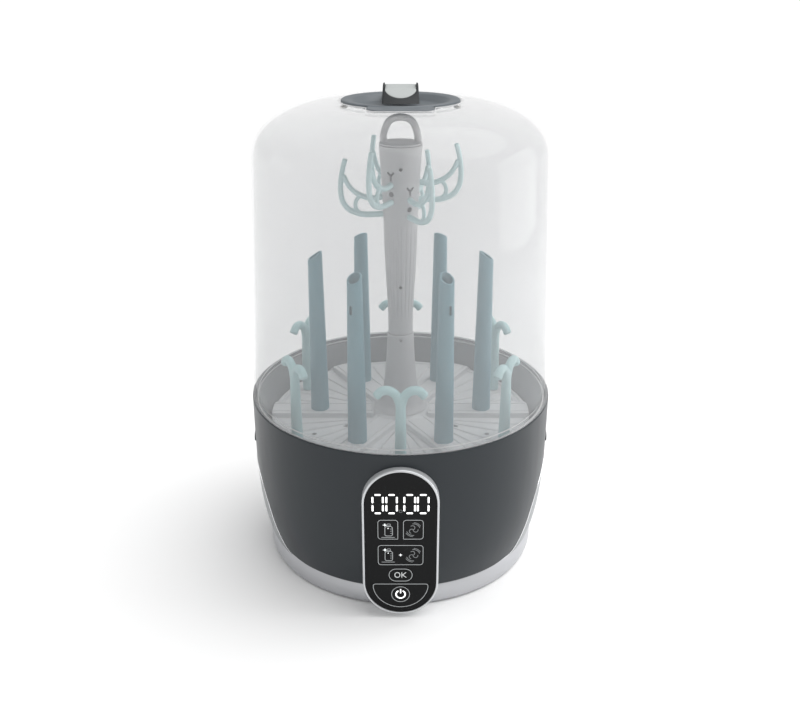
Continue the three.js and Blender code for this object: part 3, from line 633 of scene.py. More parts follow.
pad_low, pad_high = span("air_filter")
pleat = np.linspace(pad_low[0], pad_high[0], 121)
wave = 0.8 * np.abs((pleat - pad_low[0]) / 3 % 1 - 0.5) * 2
pad_outline = np.vstack([
    np.stack([pleat, pad_low[1] + wave], axis=1), np.stack([pleat[::-1], pad_high[1] - wave[::-1]], axis=1)])
filter_pad = slab("filter_pad_pleated", pad_outline, [(0, pad_low[2]), (0, pad_high[2])], crease=20)
PAD = plastic("filter_felt", paint(226, 224, 216), 0.95, variation=0.15, bump=0.6, grain=2600.0)
fitted(filter_pad, PAD, "air_filter", "filter_foam", "air_filter")


# ----------------------------------------------------------
# Mains inlet: a black moulded socket, screwed from inside into a window of the rear shell beside the
# filter. Three flat steel pins stand in its well.

INLET_HALF = 14.7
INLET_BACK = 108
INLET_FACE = 127
INLET_BOTTOM, INLET_TOP = INLET_LOW[2], INLET_HIGH[2]
turn = np.pi - INLET_TURN
INLET_VIEW = ((np.cos(turn), -np.sin(turn), 0), (0, 0, 1), (np.sin(turn), np.cos(turn), 0))
inlet_outline = rounded_outline(-INLET_HALF, INLET_BOTTOM, INLET_HALF, INLET_TOP, 2)
inlet = slab("inlet_body", inlet_outline,
             [(0.5, INLET_BACK), (0, INLET_BACK + 0.5), (0, INLET_FACE - 0.8), (0.25, INLET_FACE - 0.25),
              (0.8, INLET_FACE)], INLET_VIEW)
socket_outline = rounded_outline(-11.8, INLET_BOTTOM + 3, 11.8, INLET_TOP - 3, [2, 2, 5, 5])
carved(inlet, [slab("socket", socket_outline, [(0, INLET_BACK + 4.2), (0, 150)], INLET_VIEW)])
INLET_BLACK = plastic("inlet_plastic", paint(26, 27, 29), 0.45)
fitted(inlet, INLET_BLACK, "base", "dark_plastic", "power_inlet")
pin_middle = (INLET_BOTTOM + INLET_TOP) / 2
pins = [
    slab("pin", rounded_outline(x - 1, z - 2, x + 1, z + 2, 0.3, 4),
         [(0, INLET_BACK + 4), (0, INLET_FACE - 4), (0.6, INLET_FACE - 3)], INLET_VIEW)
    for x, z in ((-7, pin_middle - 1.5), (0, pin_middle + 2), (7, pin_middle - 1.5))]
inlet_pins = gathered("inlet_pins", pins)
STEEL = metal("brushed_steel", paint(196, 195, 192), 0.26, 1.0, 0.12)
fitted(inlet_pins, STEEL, "base", "steel")


# ----------------------------------------------------------
# Control panel: an upright silver-coated plastic frame with half-round ends stands proud of the bib and
# holds a gloss black face and its keys. Its back edge follows the shell and the foot ring.

FRAME_LOW, FRAME_HIGH = span("panel_frame")
FACE_LOW, FACE_HIGH = span("panel_face")
PANEL_HALF = FRAME_HIGH[0]
BEZEL = 2
FACE_FRONT = FACE_LOW[1]


def stadium(half_width, bottom, top, steps=40):
    """Upright outline with half-round ends, anticlockwise from the left."""
    arc = np.linspace(np.pi, FULL_TURN, steps)
    lower = np.stack([half_width * np.cos(arc), bottom + half_width + half_width * np.sin(arc)], axis=1)
    upper = np.stack([-lower[:, 0], top + bottom - lower[:, 1]], axis=1)
    outline = np.vstack([lower, upper])
    return evenly(np.vstack([outline, outline[:1]]), 5 * steps)[:-1]


def behind_panel(outline):
    """Y of the base's surface behind each point of a front view."""
    x, height = outline.T
    radius = np.where(height > SHELL_BOTTOM, base_radius(np.maximum(height, SHELL_BOTTOM)), RING_RADIUS)
    return -np.sqrt((radius - 0.3) ** 2 - x ** 2)


panel_outline = stadium(PANEL_HALF, FRAME_LOW[2], FRAME_HIGH[2])
front_y = FRAME_LOW[1]
frame_levels = [
    (0, None), (0, front_y + 1.6), (0.06, front_y + 0.9), (0.28, front_y + 0.3), (0.7, front_y),
    (1.45, front_y), (1.68, front_y + 0.15), (1.7, front_y + 0.4), (1.7, None)]
frame_rings = []
for inset, y in frame_levels:
    flat = shrunk(panel_outline, inset)
    depth = behind_panel(flat) if y is None else np.full(len(flat), y)
    frame_rings.append(np.stack([flat[:, 0], depth, flat[:, 1]], axis=1))
panel_frame = surface("panel_frame_tube", np.array(frame_rings), rows_close=True, crease=50)
PANEL_SILVER = metal("panel_silver", paint(212, 214, 216), 0.34, 0.55, 0.06)
fitted(panel_frame, PANEL_SILVER, "base", "silver_satin", "panel_frame")

KEY_GAP = 0.3
KEY_RADII = {
    "key_sterilise": [3, 0.6, 3, 3],
    "key_dry": [0.6, 3, 3, 3],
    "key_sterilise_dry": [3, 3, 3, 3],
    "key_ok": [6.1, 6.1, 6.1, 6.1],
}


def key_outline(part, growth=0.0):
    """A key's front outline: a rectangle with its own corner radii, or the lower half of a disc."""
    low, high = span(part)
    if part == "key_power":
        arc = np.linspace(np.pi, FULL_TURN, 60)
        radius = high[0] + growth
        disc = np.stack([radius * np.cos(arc), high[2] + radius * np.sin(arc)], axis=1)
        return softened([(*point, 0.4) for point in disc] + [(0, high[2] + growth, 0)], 3)
    radii = [radius + growth for radius in KEY_RADII[part]]
    return rounded_outline(low[0] - growth, low[2] - growth, high[0] + growth, high[2] + growth, radii)


GLOSS_BLACK = plastic("gloss_black", paint(15, 16, 17), 0.1, variation=0.1, marks=0.1, bump=0.004,
                      Specular_IOR_Level=0.15)
face_outline = stadium(PANEL_HALF - BEZEL, FRAME_LOW[2] + BEZEL, FRAME_HIGH[2] - BEZEL)
panel_face = slab("panel_face_plate", face_outline,
                  [(0.2, FACE_FRONT), (0, FACE_FRONT + 0.2), (0, FACE_HIGH[1])], FRONT_VIEW)
ALL_KEYS = [*KEY_RADII, "key_power"]
carved(panel_face, [slab("hole", key_outline(part, KEY_GAP), [(0, -150), (0, -100)], FRONT_VIEW)
                    for part in ALL_KEYS])
fitted(panel_face, GLOSS_BLACK, "base", "panel_black", "panel_face")
for part in ALL_KEYS:
    cap = slab(f"{part}_cap", key_outline(part),
               [(0.12, FACE_FRONT), (0, FACE_FRONT + 0.12), (0, span(part)[1][1])], FRONT_VIEW)
    fitted(cap, GLOSS_BLACK, part, "panel_black", part)


# ----------------------------------------------------------
# Display and key marks: lit digits and thin lines shine through the black face. Each mark is a raised
# stroke a few hundredths of a millimetre proud, and the marks on a key travel with it.

def lit_group():
    """Light that falls off slightly in slow patches, as it does through a diffuser."""
    group, given = new_group("lit_mark", Colour=(1.0, 1.0, 1.0, 1.0), Unevenness=0.1)
    cloud = object_noise(group, 260.0, 1.0)
    tint = shade(group, given["Colour"], cloud, given["Unevenness"])
    rough = maths(group, "MULTIPLY_ADD", cloud, 0.1, 0.2)
    return closed_group(group, Colour=tint, Roughness=rough, Height=cloud)


LIT = lit_group()


def lit(name, colour, strength):
    return material_from(name, LIT, {"Colour": colour, "Unevenness": 0.15}, 0.01,
                         extra=[("Colour", "Emission Color")], Emission_Strength=strength)


MARK_FRONT = FACE_FRONT - 0.06
MARK_BACK = FACE_FRONT + 0.3


def stroke(points, width, closed=False, step=0.35):
    """A flat line of even width along (x, z) points, with round ends unless it closes on itself."""
    points = np.array(points, float)
    if closed:
        points = np.vstack([points, points[:1]])
    path = evenly(points, max(int(run_of(points)[-1] / step), 6))
    half = np.full(len(path), width / 2)
    if closed:
        path, half = path[:-1], half[:-1]
        along = np.roll(path, -1, axis=0) - np.roll(path, 1, axis=0)
    else:
        along = np.gradient(path, axis=0)
        tip = width / 2
        tips = np.array([0, 0.08, 0.3, 0.65]) * tip
        along = unit(along)
        head = path[0] - along[0] * (tip - tips)[:, None]
        tail = path[-1] + along[-1] * (tip - tips[::-1])[:, None]
        round_off = np.sqrt(tip ** 2 - (tip - tips) ** 2)
        path = np.vstack([head, path, tail])
        along = np.vstack([np.repeat(along[:1], 4, axis=0), along, np.repeat(along[-1:], 4, axis=0)])
        half = np.concatenate([round_off, half, round_off[::-1]])
    rows = []
    for side, y in ((-1, MARK_BACK), (-1, MARK_FRONT), (1, MARK_FRONT), (1, MARK_BACK)):
        flat = path + side * half[:, None] * left_of(along)
        rows.append(np.stack([flat[:, 0], np.full(len(flat), y), flat[:, 1]], axis=1))
    return surface("stroke", np.array(rows).transpose(1, 0, 2), rows_close=closed)


def arc(centre, radius, start, end, steps=40):
    """(x, z) points of an arc between two angles in degrees, anticlockwise from +X."""
    angle = np.radians(np.linspace(start, end, steps))
    return np.stack([centre[0] + radius * np.cos(angle), centre[1] + radius * np.sin(angle)], axis=1)


def marks(name, strokes, material, body):
    fitted(gathered(name, strokes), material, body, "display")


DIGIT_WHITE = lit("digit_light", paint(255, 255, 255), 1.0)
LINE_GREY = lit("line_light", paint(150, 153, 154), 0.5)
ICON_WHITE = lit("icon_light", paint(225, 228, 228), 0.85)
FAN_GREY = lit("fan_light", paint(118, 121, 122), 0.4)
DIM_GREY = lit("dim_light", paint(90, 92, 93), 0.3)

DIGIT_BOTTOM, DIGIT_TOP = 99.5, 117.5
SEGMENT = 1.45
segments = []
for left, right in ((-22.6, -13.1), (-11.8, -2.2), (2.2, 12.0), (12.7, 22.5)):
    inner_left, inner_right = left + SEGMENT / 2, right - SEGMENT / 2
    middle = (DIGIT_BOTTOM + DIGIT_TOP) / 2
    for z in (DIGIT_BOTTOM + SEGMENT / 2, DIGIT_TOP - SEGMENT / 2):
        segments.append(stroke([(inner_left + 2.3, z), (inner_right - 2.3, z)], SEGMENT))
    for x in (inner_left, inner_right):
        segments.append(stroke([(x, DIGIT_BOTTOM + 3.2), (x, middle - 1.6)], SEGMENT))
        segments.append(stroke([(x, middle + 1.6), (x, DIGIT_TOP - 3.2)], SEGMENT))
marks("display_digits", segments, DIGIT_WHITE, "base")
marks("display_dot", [stroke(arc((0, 102), 1.2, 0, 351), 0.5, True)], DIM_GREY, "base")

for part in ALL_KEYS:
    edge = shrunk(key_outline(part), 0.5)
    if part == "key_power":
        radius, top = span(part)[1][0] - 0.8, span(part)[1][2] - 0.8
        disc = arc((0, top), radius, 189, 351, 60)
        corners = [(-radius + 0.25, top, 2.3), *((*point, 0) for point in disc), (radius - 0.25, top, 2.3)]
        edge = softened(corners, 6)
    marks(f"{part}_border", [stroke(edge, 0.48, True)], LINE_GREY, part)


def bottle_icon(x, z):
    """A feeding bottle standing on a line, with its cap, a highlight and a sparkle beside it."""
    body = rounded_outline(x - 2.6, z - 5.6, x + 3.4, z + 3.2, [1.4, 1.4, 2.0, 2.0])
    cap = rounded_outline(x - 1.0, z + 3.7, x + 1.8, z + 5.4, [0.4, 0.4, 0.7, 0.7])
    grey = [stroke(body, 0.5, True), stroke(cap, 0.4, True),
            stroke([(x - 5.2, z - 7.0), (x + 5.0, z - 7.0)], 0.4)]
    grey += [stroke([(x + 1.7, z + rise), (x + 2.9, z + rise)], 0.35) for rise in (-3.2, -1.2, 0.8)]
    return grey, sparkle(x - 2.6, z + 4.4, 1.9) + [stroke([(x - 0.2, z + 1.4), (x + 0.1, z + 1.5)], 0.8)]


def sparkle(x, z, reach):
    """A star of four points: two crossed strokes and a round middle."""
    return [stroke([(x - reach + 0.3, z), (x + reach - 0.3, z)], 0.32),
            stroke([(x, z - reach + 0.3), (x, z + reach - 0.3)], 0.32),
            stroke([(x - 0.2, z), (x + 0.2, z)], 1.1)]


def fan_icon(x, z):
    """A fan of three swept blades between two long arcs of moving air."""
    lines = []
    for turn_degrees in (0, 120, 240):
        blade = arc((0, 1.9), 1.9, -90, 110, 18)
        angle = np.radians(turn_degrees + 20)
        spin = np.array([[np.cos(angle), np.sin(angle)], [-np.sin(angle), np.cos(angle)]])
        lines.append(stroke(blade @ spin + [x, z], 0.5))
    for start in (20, 200):
        lines.append(stroke(arc((x, z), 5.4, start, start + 75), 0.55))
        lines.append(stroke(arc((x, z), 6.5, start + 10, start + 65), 0.45))
    return lines


for part, bottle, fan in (
        ("key_sterilise", (-9.8, 85.0), None), ("key_dry", None, (10.0, 85.2)),
        ("key_sterilise_dry", (-9.8, 61.8), (10.0, 61.3))):
    if bottle:
        grey, white = bottle_icon(*bottle)
        if fan:
            white += sparkle(0, 61.5, 1.6)
        marks(f"{part}_bottle", grey, LINE_GREY, part)
        marks(f"{part}_sparkle", white, ICON_WHITE, part)
    if fan:
        marks(f"{part}_fan", fan_icon(*fan), FAN_GREY, part)

LETTER_LOW, LETTER_HIGH = 40.1, 44.7
letter_o = rounded_outline(-4.6, LETTER_LOW, -0.6, LETTER_HIGH, 1.9)
LETTER_WIDTH = 0.62
letter_k = [stroke([(1.0, LETTER_LOW), (1.0, LETTER_HIGH)], LETTER_WIDTH),
            stroke([(4.2, LETTER_HIGH), (1.5, (LETTER_LOW + LETTER_HIGH) / 2), (4.4, LETTER_LOW)], LETTER_WIDTH)]
LETTER_GREY = lit("letter_light", paint(185, 187, 187), 0.6)
marks("key_ok_letters", [stroke(letter_o, LETTER_WIDTH, True), *letter_k], LETTER_GREY, "key_ok")
POWER_CENTRE = (0, 23.6)
marks("key_power_ring", [stroke(arc(POWER_CENTRE, 7.3, 0, 354, 60), 0.48, True)], LINE_GREY, "key_power")
power_symbol = [stroke(arc(POWER_CENTRE, 3.7, 125, 415), 1.15),
                stroke([(0, 25.0), (0, 28.2)], 1.0)]
marks("key_power_symbol", power_symbol, DIGIT_WHITE, "key_power")


# ----------------------------------------------------------
# Water bowl: one grey plastic moulding that hangs in the rim, steps in to carry the tray, and closes on
# a pressed steel heating plate that boils the water. Hot air enters through the hole at its back.

BOWL_LOW, BOWL_HIGH = span("inner_bowl")
bowl_profile = softened([
    (45.9, BOWL_LOW[2], 0), (98, BOWL_LOW[2], 3), (112, 103.5, 4), (115.2, 116.2, 1), (119.4, 118, 1),
    (128, 141, 1), (128.2, BOWL_HIGH[2], 0.4), (125.9, BOWL_HIGH[2], 0.7), (117.2, 120, 0.7),
    (115.9, 118.9, 0.3), (113, 118.6, 0.8), (109.6, 105, 6), (97, 95.6, 6), (48, 95.6, 0.5), (45.9, 95.2, 0.3)])
bowl = turned("bowl_moulding", bowl_profile, 192)
carved(bowl, [slab("airway", rounded_outline(-16, 84, 16, 96, 2), [(0, 60), (0, 120)])])
BOWL_GREY = plastic("bowl_plastic", paint(128, 131, 132), 0.35, bump=0.08)
fitted(bowl, BOWL_GREY, "base", "bowl_grey", "inner_bowl")

PLATE_LOW, PLATE_HIGH = span("heating_plate")
plate_profile = softened([
    (0, PLATE_LOW[2], 0), (50, PLATE_LOW[2], 0.3), (50, PLATE_LOW[2] + 2.9, 0.3), (45.6, PLATE_LOW[2] + 2.9, 0.2),
    (45.6, PLATE_HIGH[2], 0.8), (40, PLATE_HIGH[2] - 0.8, 4), (0, PLATE_HIGH[2] - 1.6, 0)], 6)
heating_plate = turned("heating_plate_pressed", plate_profile, 128)
fitted(heating_plate, STEEL, "base", "steel", "heating_plate")


# ----------------------------------------------------------
# Drying tray: a light grey plastic disc moulded with six raised spokes, a centre boss and a rim. It
# rests on the bowl's step, and slots and holes between the spokes drain the water.

TRAY_LOW, TRAY_HIGH = span("rack_tray")
TRAY_RADIUS = 115.4
TRAY_TOP = TRAY_LOW[2] + 2.4
SPOKE_TOP = TRAY_LOW[2] + 7.3
TRAY_RIM = TRAY_TOP + 1.6
SPOKE_SIDES = [
    (0, 1), (4, 1), (7.0, 1), (7.3, 0.84), (8.2, 0.84), (8.5, 1), (10.7, 1), (11.3, 0.98), (11.65, 0.9),
    (11.8, 0.72), (11.95, 0.12), (12.2, 0.03), (12.8, 0)]
PAD_COLUMNS = [0.1, 0.25, 0.28, 0.35, 0.38, 0.52, 0.67, 0.70, 0.77, 0.80, 0.9, 1.0]
PAD_GROOVES = [0, 0, 1, 1, 0, 0, 0, 1, 1, 0, 0, 0]
TRAY_ROWS = [
    (0, "boss", 0), (10, "boss", 0), (20, "boss", 0), (23.4, "boss", 0), (24.1, "boss", -0.15),
    (24.5, "boss", -0.6), (26.6, "land", 0.9), (27.2, "land", 0.25), (28, "land", 0), (34, "land", 0),
    (37, "land", 0), (38, "groove", 0), (60, "groove", 0), (85, "groove", 0), (107, "groove", 0),
    (108, "land", 0), (111.6, "land", 0), (112.1, "rim", -0.9), (112.5, "rim", -0.2), (113, "rim", 0),
    (114.6, "rim", 0), (115.2, "rim", -0.2), (TRAY_RADIUS, "rim", -0.7), (TRAY_RADIUS, "under", 1.1),
    (TRAY_RADIUS - 0.3, "under", 0.3), (TRAY_RADIUS - 1, "under", 0), (70, "under", 0), (0, "under", 0)]


def tray_grid():
    """Height over angle and radius: columns keep to the spokes' edges, so each spoke stays parallel."""
    distance, rise = np.array(SPOKE_SIDES).T
    parts = distance.size + 8
    fraction = np.concatenate([
        np.arange(distance.size) / parts, distance.size / parts + np.array(PAD_COLUMNS) * 8 / parts])
    rise = np.concatenate([rise, np.zeros(len(PAD_COLUMNS))])
    groove = np.concatenate([np.zeros(distance.size), PAD_GROOVES])
    sixth = np.pi / 6
    rows = []
    for radius, kind, offset in TRAY_ROWS:
        if radius < 26 or kind == "under":
            half = fraction * sixth
        else:
            edges = np.arcsin(distance / radius)
            half = np.concatenate([edges, edges[-1] + np.array(PAD_COLUMNS) * (sixth - edges[-1])])
        land = TRAY_TOP + rise * (SPOKE_TOP - TRAY_TOP)
        height = {
            "boss": np.full_like(land, TRAY_HIGH[2]),
            "land": land,
            "groove": land - 1.3 * groove,
            "rim": np.maximum(land, TRAY_RIM),
            "under": np.full_like(land, TRAY_LOW[2]),
        }[kind] + offset
        if kind == "rim" and radius < 113:
            height = np.maximum(height, land)
        angle = np.concatenate([-half[:0:-1], half[:-1]])
        height = np.concatenate([height[:0:-1], height[:-1]])
        turns = sixth + np.arange(6)[:, None] * 2 * sixth
        rows.append(around((turns + angle[None, :]).ravel(), radius, np.tile(height, 6)))
    return np.array(rows)


tray = surface("tray_moulding", tray_grid(), crease=28)
drains = []
for sixth in range(6):
    angle = np.radians(60 * sixth)
    view = ((np.cos(angle), np.sin(angle), 0), (-np.sin(angle), np.cos(angle), 0), (0, 0, 1))
    for half, far, near, corner in ((2, 58, 38, 1.9), (2.2, 88.2, 83.8, 2.19)):
        drain = rounded_outline(-half, -far, half, -near, corner, 6)
        drains.append(slab("drain", drain, [(0, 110), (0, 140)], view))
carved(tray, drains, crease=28)
TRAY_GREY = plastic("tray_plastic", paint(210, 211, 212), 0.3, variation=0.06, bump=0.05)
fitted(tray, TRAY_GREY, "rack", "light_grey", "rack_tray")


# ----------------------------------------------------------
# Pegs: six tapered blue-grey plastic tubes pushed into the spokes, each cut on a slant at the top, low
# side outwards, with a small slot below the mouth. A bottle stands upside down over each.

PEG_PITCH = 72.6
PEG_LOW, PEG_HIGH = span("peg_1")
PEG_BOTTOM, PEG_TOP = PEG_LOW[2], PEG_HIGH[2]
PEG_FOOT_RADIUS, PEG_TIP_RADIUS, PEG_WALL = 8.2, 6.0, 1.6
MOUTH_SLOPE = 0.5825


def repeated(source, part, ending, numbers, start, pitch, *finish):
    """Copies of a piece at sixths of a turn, moved out from the axis, each for the CAD node of its number."""
    points = np.empty(len(source.data.vertices) * 3)
    source.data.vertices.foreach_get("co", points)
    x, y, z = points.reshape(-1, 3).T
    y = y - pitch * MM
    for number in numbers:
        mesh = source.data.copy()
        mesh.name = f"{part}_{number}_{ending}"
        cos, sin = np.cos(np.radians(start + 60 * number)), np.sin(np.radians(start + 60 * number))
        mesh.vertices.foreach_set("co", np.stack([x * cos - y * sin, x * sin + y * cos, z], axis=1).ravel())
        fitted(shown(mesh.name, mesh), *finish, f"{part}_{number}")
    discard(source)


def peg_grid(columns=48):
    """Closed tube section for each angle, whose top follows a plane that falls outwards."""
    angles = bearings(columns)
    middle = PEG_TOP - MOUTH_SLOPE * PEG_TIP_RADIUS
    top = middle - MOUTH_SLOPE * PEG_TIP_RADIUS * np.cos(angles)
    taper = (PEG_TIP_RADIUS - PEG_FOOT_RADIUS) / (PEG_TOP - PEG_BOTTOM)
    share = np.linspace(0, 1, 10)
    rows = [(0.0, PEG_BOTTOM + s * (top - 0.7 - PEG_BOTTOM)) for s in share]
    rows += [(0.12, top - 0.25), (0.45, top), (PEG_WALL - 0.45, top + 0.1), (PEG_WALL - 0.1, top - 0.1)]
    rows += [(PEG_WALL, PEG_BOTTOM + s * (top - 0.5 - PEG_BOTTOM)) for s in share[::-1]]
    return np.array([
        around(angles, PEG_FOOT_RADIUS + taper * (height - PEG_BOTTOM) - depth, height)
        for depth, height in rows])


peg = surface("peg", peg_grid(), rows_close=True)
slot_bottom = PEG_TOP - 33
carved(peg, [slab("slot", rounded_outline(-1.1, slot_bottom, 1.1, slot_bottom + 8, 1.05, 5),
                  [(0, -20), (0, 0)], FRONT_VIEW)])
TEAL = plastic("peg_plastic", paint(108, 150, 160), 0.4, variation=0.1, bump=0.1)
repeated(peg, "peg", "tube", range(1, 7), -30, PEG_PITCH, TEAL, "rack", "teal")


# ----------------------------------------------------------
# Hooks: six pale aqua plastic posts plugged into the tray near its edge, each moulded in one with two
# arms that curl out and down, for teats and rings.

HOOK_PITCH = 102
HOOK_LOW, HOOK_HIGH = span("hook_1")


def rod(path, start_radius, end_radius, normal, sides=20, ease=0.8, count=40):
    """A round rod along a flat path; its radius runs evenly to the end and both ends are eased."""
    path = np.array(path, float)
    total = run_of(path)[-1]
    near = ease * np.array([0, 0.06, 0.25, 0.6])
    places = np.concatenate([near, np.linspace(ease, total - ease, count), total - near[::-1]])
    path = points_at(path, places)
    side = np.cross(normal, unit(np.gradient(path, places, axis=0)))
    from_end = np.minimum(np.minimum(places, total - places), ease)
    easing = ease - np.sqrt(ease ** 2 - (ease - from_end) ** 2)
    radius = start_radius + (end_radius - start_radius) * places / total - easing
    angle = bearings(sides)
    ring = np.cos(angle)[None, :, None] * side[:, None] + np.sin(angle)[None, :, None] * np.array(normal, float)
    return surface("rod", path[:, None] + radius[:, None, None] * ring)


def moulded(name, pieces, voxel, smoothing):
    """Joins overlapping bodies into one skin with softened inner corners, as a mould leaves them."""
    whole = gathered(name, pieces)
    remesh = whole.modifiers.new("skin", "REMESH")
    remesh.mode = "VOXEL"
    remesh.voxel_size = voxel * MM
    smooth = whole.modifiers.new("soften", "SMOOTH")
    smooth.iterations = smoothing
    smooth.factor = 0.5
    applied(whole)
    whole.data.shade_smooth()
    return whole


post_profile = softened([
    (0, HOOK_LOW[2], 0), (5, HOOK_LOW[2], 0.3), (4.3, 165, 30), (3.7, 184, 1), (3.0, 185.5, 0.5), (0, 186, 0)])
hook_arms = [
    rod(smooth_path([(0, 0, 174), (side * 1.6, 0, 181), (side * 4.2, 0, 186.6), (side * 9.5, 0, 189.9),
                     (side * 15.0, 0, 189.2), (side * 19.4, 0, 184.6)]), 3.6, 3.7, (0, 1, 0))
    for side in (-1, 1)]
hook = moulded("hook", [turned("post", post_profile, 40), *hook_arms], 0.55, 5)
AQUA = plastic("hook_plastic", paint(180, 213, 214), 0.4, variation=0.08, bump=0.08)
repeated(hook, "hook", "moulding", range(1, 7), -60, HOOK_PITCH, AQUA, "rack", "aqua")


# ----------------------------------------------------------
# Column: a light grey plastic stub flares out of the tray's boss. The hollow column of the teat tree
# plugs into it and widens upwards, fluted along its lower half, and a cap with a loop closes its top.

STUB_LOW, STUB_HIGH = span("column_base")
stub_profile = softened([
    (0, STUB_LOW[2], 0), (24.2, STUB_LOW[2], 0.5), (20, 133, 4), (16.6, 142, 6), (14.3, 154, 8), (12.9, 170, 9),
    (11.8, 189, 9), (11.6, STUB_HIGH[2], 0.5), (8.3, STUB_HIGH[2], 0.3), (8.3, 164, 0), (0, 164, 0)], 6)
COLUMN_GREY = plastic("column_plastic", paint(192, 192, 193), 0.42, variation=0.06, bump=0.1)
column_stub = turned("column_stub", stub_profile, 96)
fitted(column_stub, COLUMN_GREY, "rack", "light_grey", "column_base")

COLUMN_LOW, COLUMN_HIGH = span("tree_column")
COLUMN_TOP = COLUMN_HIGH[2]
SEAM_HEIGHT = 200
column_profile = softened([
    (0, COLUMN_LOW[2], 0), (7, COLUMN_LOW[2], 0.5), (8, COLUMN_LOW[2] + 3, 0.5), (8, SEAM_HEIGHT, 0),
    (10.6, SEAM_HEIGHT, 0.4), (10.6, 218, 8), (12, 240, 10), (13.5, 270, 10), (14.3, 300, 10), (15.4, 325, 10),
    (16.6, 346, 8), (17.9, COLUMN_TOP, 0.8), (13, COLUMN_TOP, 0.4), (13, COLUMN_TOP - 14, 0.3),
    (0, COLUMN_TOP - 14, 0)], 7)
FLUTES = 20
FLUTE_DEPTH = 0.5
FLUTE_STEP = 2.2
FLUTE_BOTTOM, FLUTE_TOP = 214, 300


def fluted_column(profile, columns=240):
    """The turned profile with its radius lowered by a sharpened cosine of the angle between two heights."""
    closed = np.vstack([profile, profile[:1]])
    run = run_of(closed)
    counts = np.ceil(np.linalg.norm(np.diff(closed, axis=0), axis=1) / FLUTE_STEP).astype(int)
    places = [np.linspace(start, end, count, endpoint=False) for start, end, count in zip(run, run[1:], counts)]
    radius, height = points_at(closed, np.concatenate(places)).T
    angles = bearings(columns)
    fade = np.clip((height - FLUTE_BOTTOM) / 8, 0, 1) * np.clip((FLUTE_TOP - height) / 12, 0, 1)
    fade = np.where(radius > 9, fade, 0)
    wave = (0.5 + 0.5 * np.cos(FLUTES * angles)) ** 4
    cut = FLUTE_DEPTH * fade[:, None] * wave[None, :]
    return surface("tree_column_fluted", around(angles[None, :], radius[:, None] - cut, height[:, None]),
                   rows_close=True, crease=40)


column = fluted_column(column_profile)
LOW_HOLDER, HIGH_HOLDER = 304.8, 317.3


def facing(degrees):
    """Front view turned about Z: across, up, and inwards from the surface."""
    angle = np.radians(degrees)
    return ((np.cos(angle), np.sin(angle), 0), (0, 0, 1), (-np.sin(angle), np.cos(angle), 0))


def star_outline(centre, tips, half_width):
    """Outline of straight bars from a centre to (x, z) tips given anticlockwise, with sharp notches."""
    arms = np.array(tips, float)
    along, left = unit(arms), half_width * left_of(arms)
    after = np.roll(along, -1, axis=0)
    turn = along[:, 0] * after[:, 1] - along[:, 1] * after[:, 0]
    notch = half_width * (along + after) / turn[:, None]
    return centre + np.stack([arms - left, arms + left, notch], axis=1).reshape(-1, 2)


def pierced(piece, outline, depth, degrees):
    """Sinks a blind hole of the outline into a piece, down to a distance from its axis."""
    carved(piece, [slab("hole", outline, [(0, -22), (0, -depth)], facing(degrees))], crease=40)


for number in range(6):
    holder_base = LOW_HOLDER if number % 2 == 0 else HIGH_HOLDER
    slot = star_outline((0, holder_base + 21.6), [(2.9, 3.2), (-2.9, 3.2), (0, -3.9)], 0.9)
    pierced(column, slot, 9.5, 30 + 60 * number)
    pierced(column, arc((0, holder_base + 6.6), 2.3, 0, 345, 24), 9, 30 + 60 * number)
for piece, height, depth in ((column, 244, 5), (column, 344.7, 9), (column_stub, 196, 9.3)):
    pierced(piece, arc((0, height), 1.5, 0, 345, 24), depth, 0)
fitted(column, COLUMN_GREY, "tree", "light_grey", "tree_column")

CAP_LOW, CAP_HIGH = span("tree_handle")
cap_profile = softened([
    (0, CAP_LOW[2], 0), (12.6, CAP_LOW[2], 0.5), (12.6, COLUMN_TOP + 0.3, 0.2), (17.7, COLUMN_TOP + 0.3, 0.3),
    (17.6, COLUMN_TOP + 1.7, 0.8), (15, COLUMN_TOP + 2.2, 2), (0, COLUMN_TOP + 2.2, 0)])
loop_side = [(13.8, 360.5), (13.9, 366), (13.2, 372), (10, 379.6), (5.4, 382.8)]
loop_points = [*((-x, 0, z) for x, z in loop_side), (0, 0, 383.6), *((x, 0, z) for x, z in loop_side[::-1])]
LOOP_RADIUS = 2.95
loop = rod(smooth_path(loop_points), LOOP_RADIUS, LOOP_RADIUS, (0, 1, 0), count=90)
tree_handle = moulded("tree_handle_loop", [turned("cap", cap_profile, 96), loop], 0.5, 3)
fitted(tree_handle, COLUMN_GREY, "tree", "light_grey", "tree_handle")


# ----------------------------------------------------------
# Teat holders: six aqua plastic brackets plugged into the column, three lower and three higher. A long
# arm sweeps out and up, a short one rises inside it, and a curved strut ties their roots together.

def holder_at(base):
    """One bracket in the plane x = 0, pointing forwards, from its (radius, rise) curves."""
    def curve(points):
        return smooth_path([(0, -radius, base + rise) for radius, rise in points])

    outer = curve([(13.6, 0.2), (25, -0.4), (34, 0.2), (42.5, 3.6), (47.6, 10), (49.3, 18), (49.0, 28), (47.2, 38),
                   (45.0, 45.6)])
    inner = curve([(14.2, 14.6), (24, 13.2), (31, 14.8), (38.5, 19), (43.5, 25), (46.6, 32)])
    strut = curve([(32.6, 0.2), (36.4, 3.6), (37.4, 7.4), (36.6, 11.4), (33.4, 15.2)])
    pieces = [rod(outer, 2.5, 2.1, (1, 0, 0), count=60), rod(inner, 2.5, 1.9, (1, 0, 0)),
              rod(strut, 1.7, 1.7, (1, 0, 0), count=20)]
    return moulded("holder", pieces, 0.42, 5)


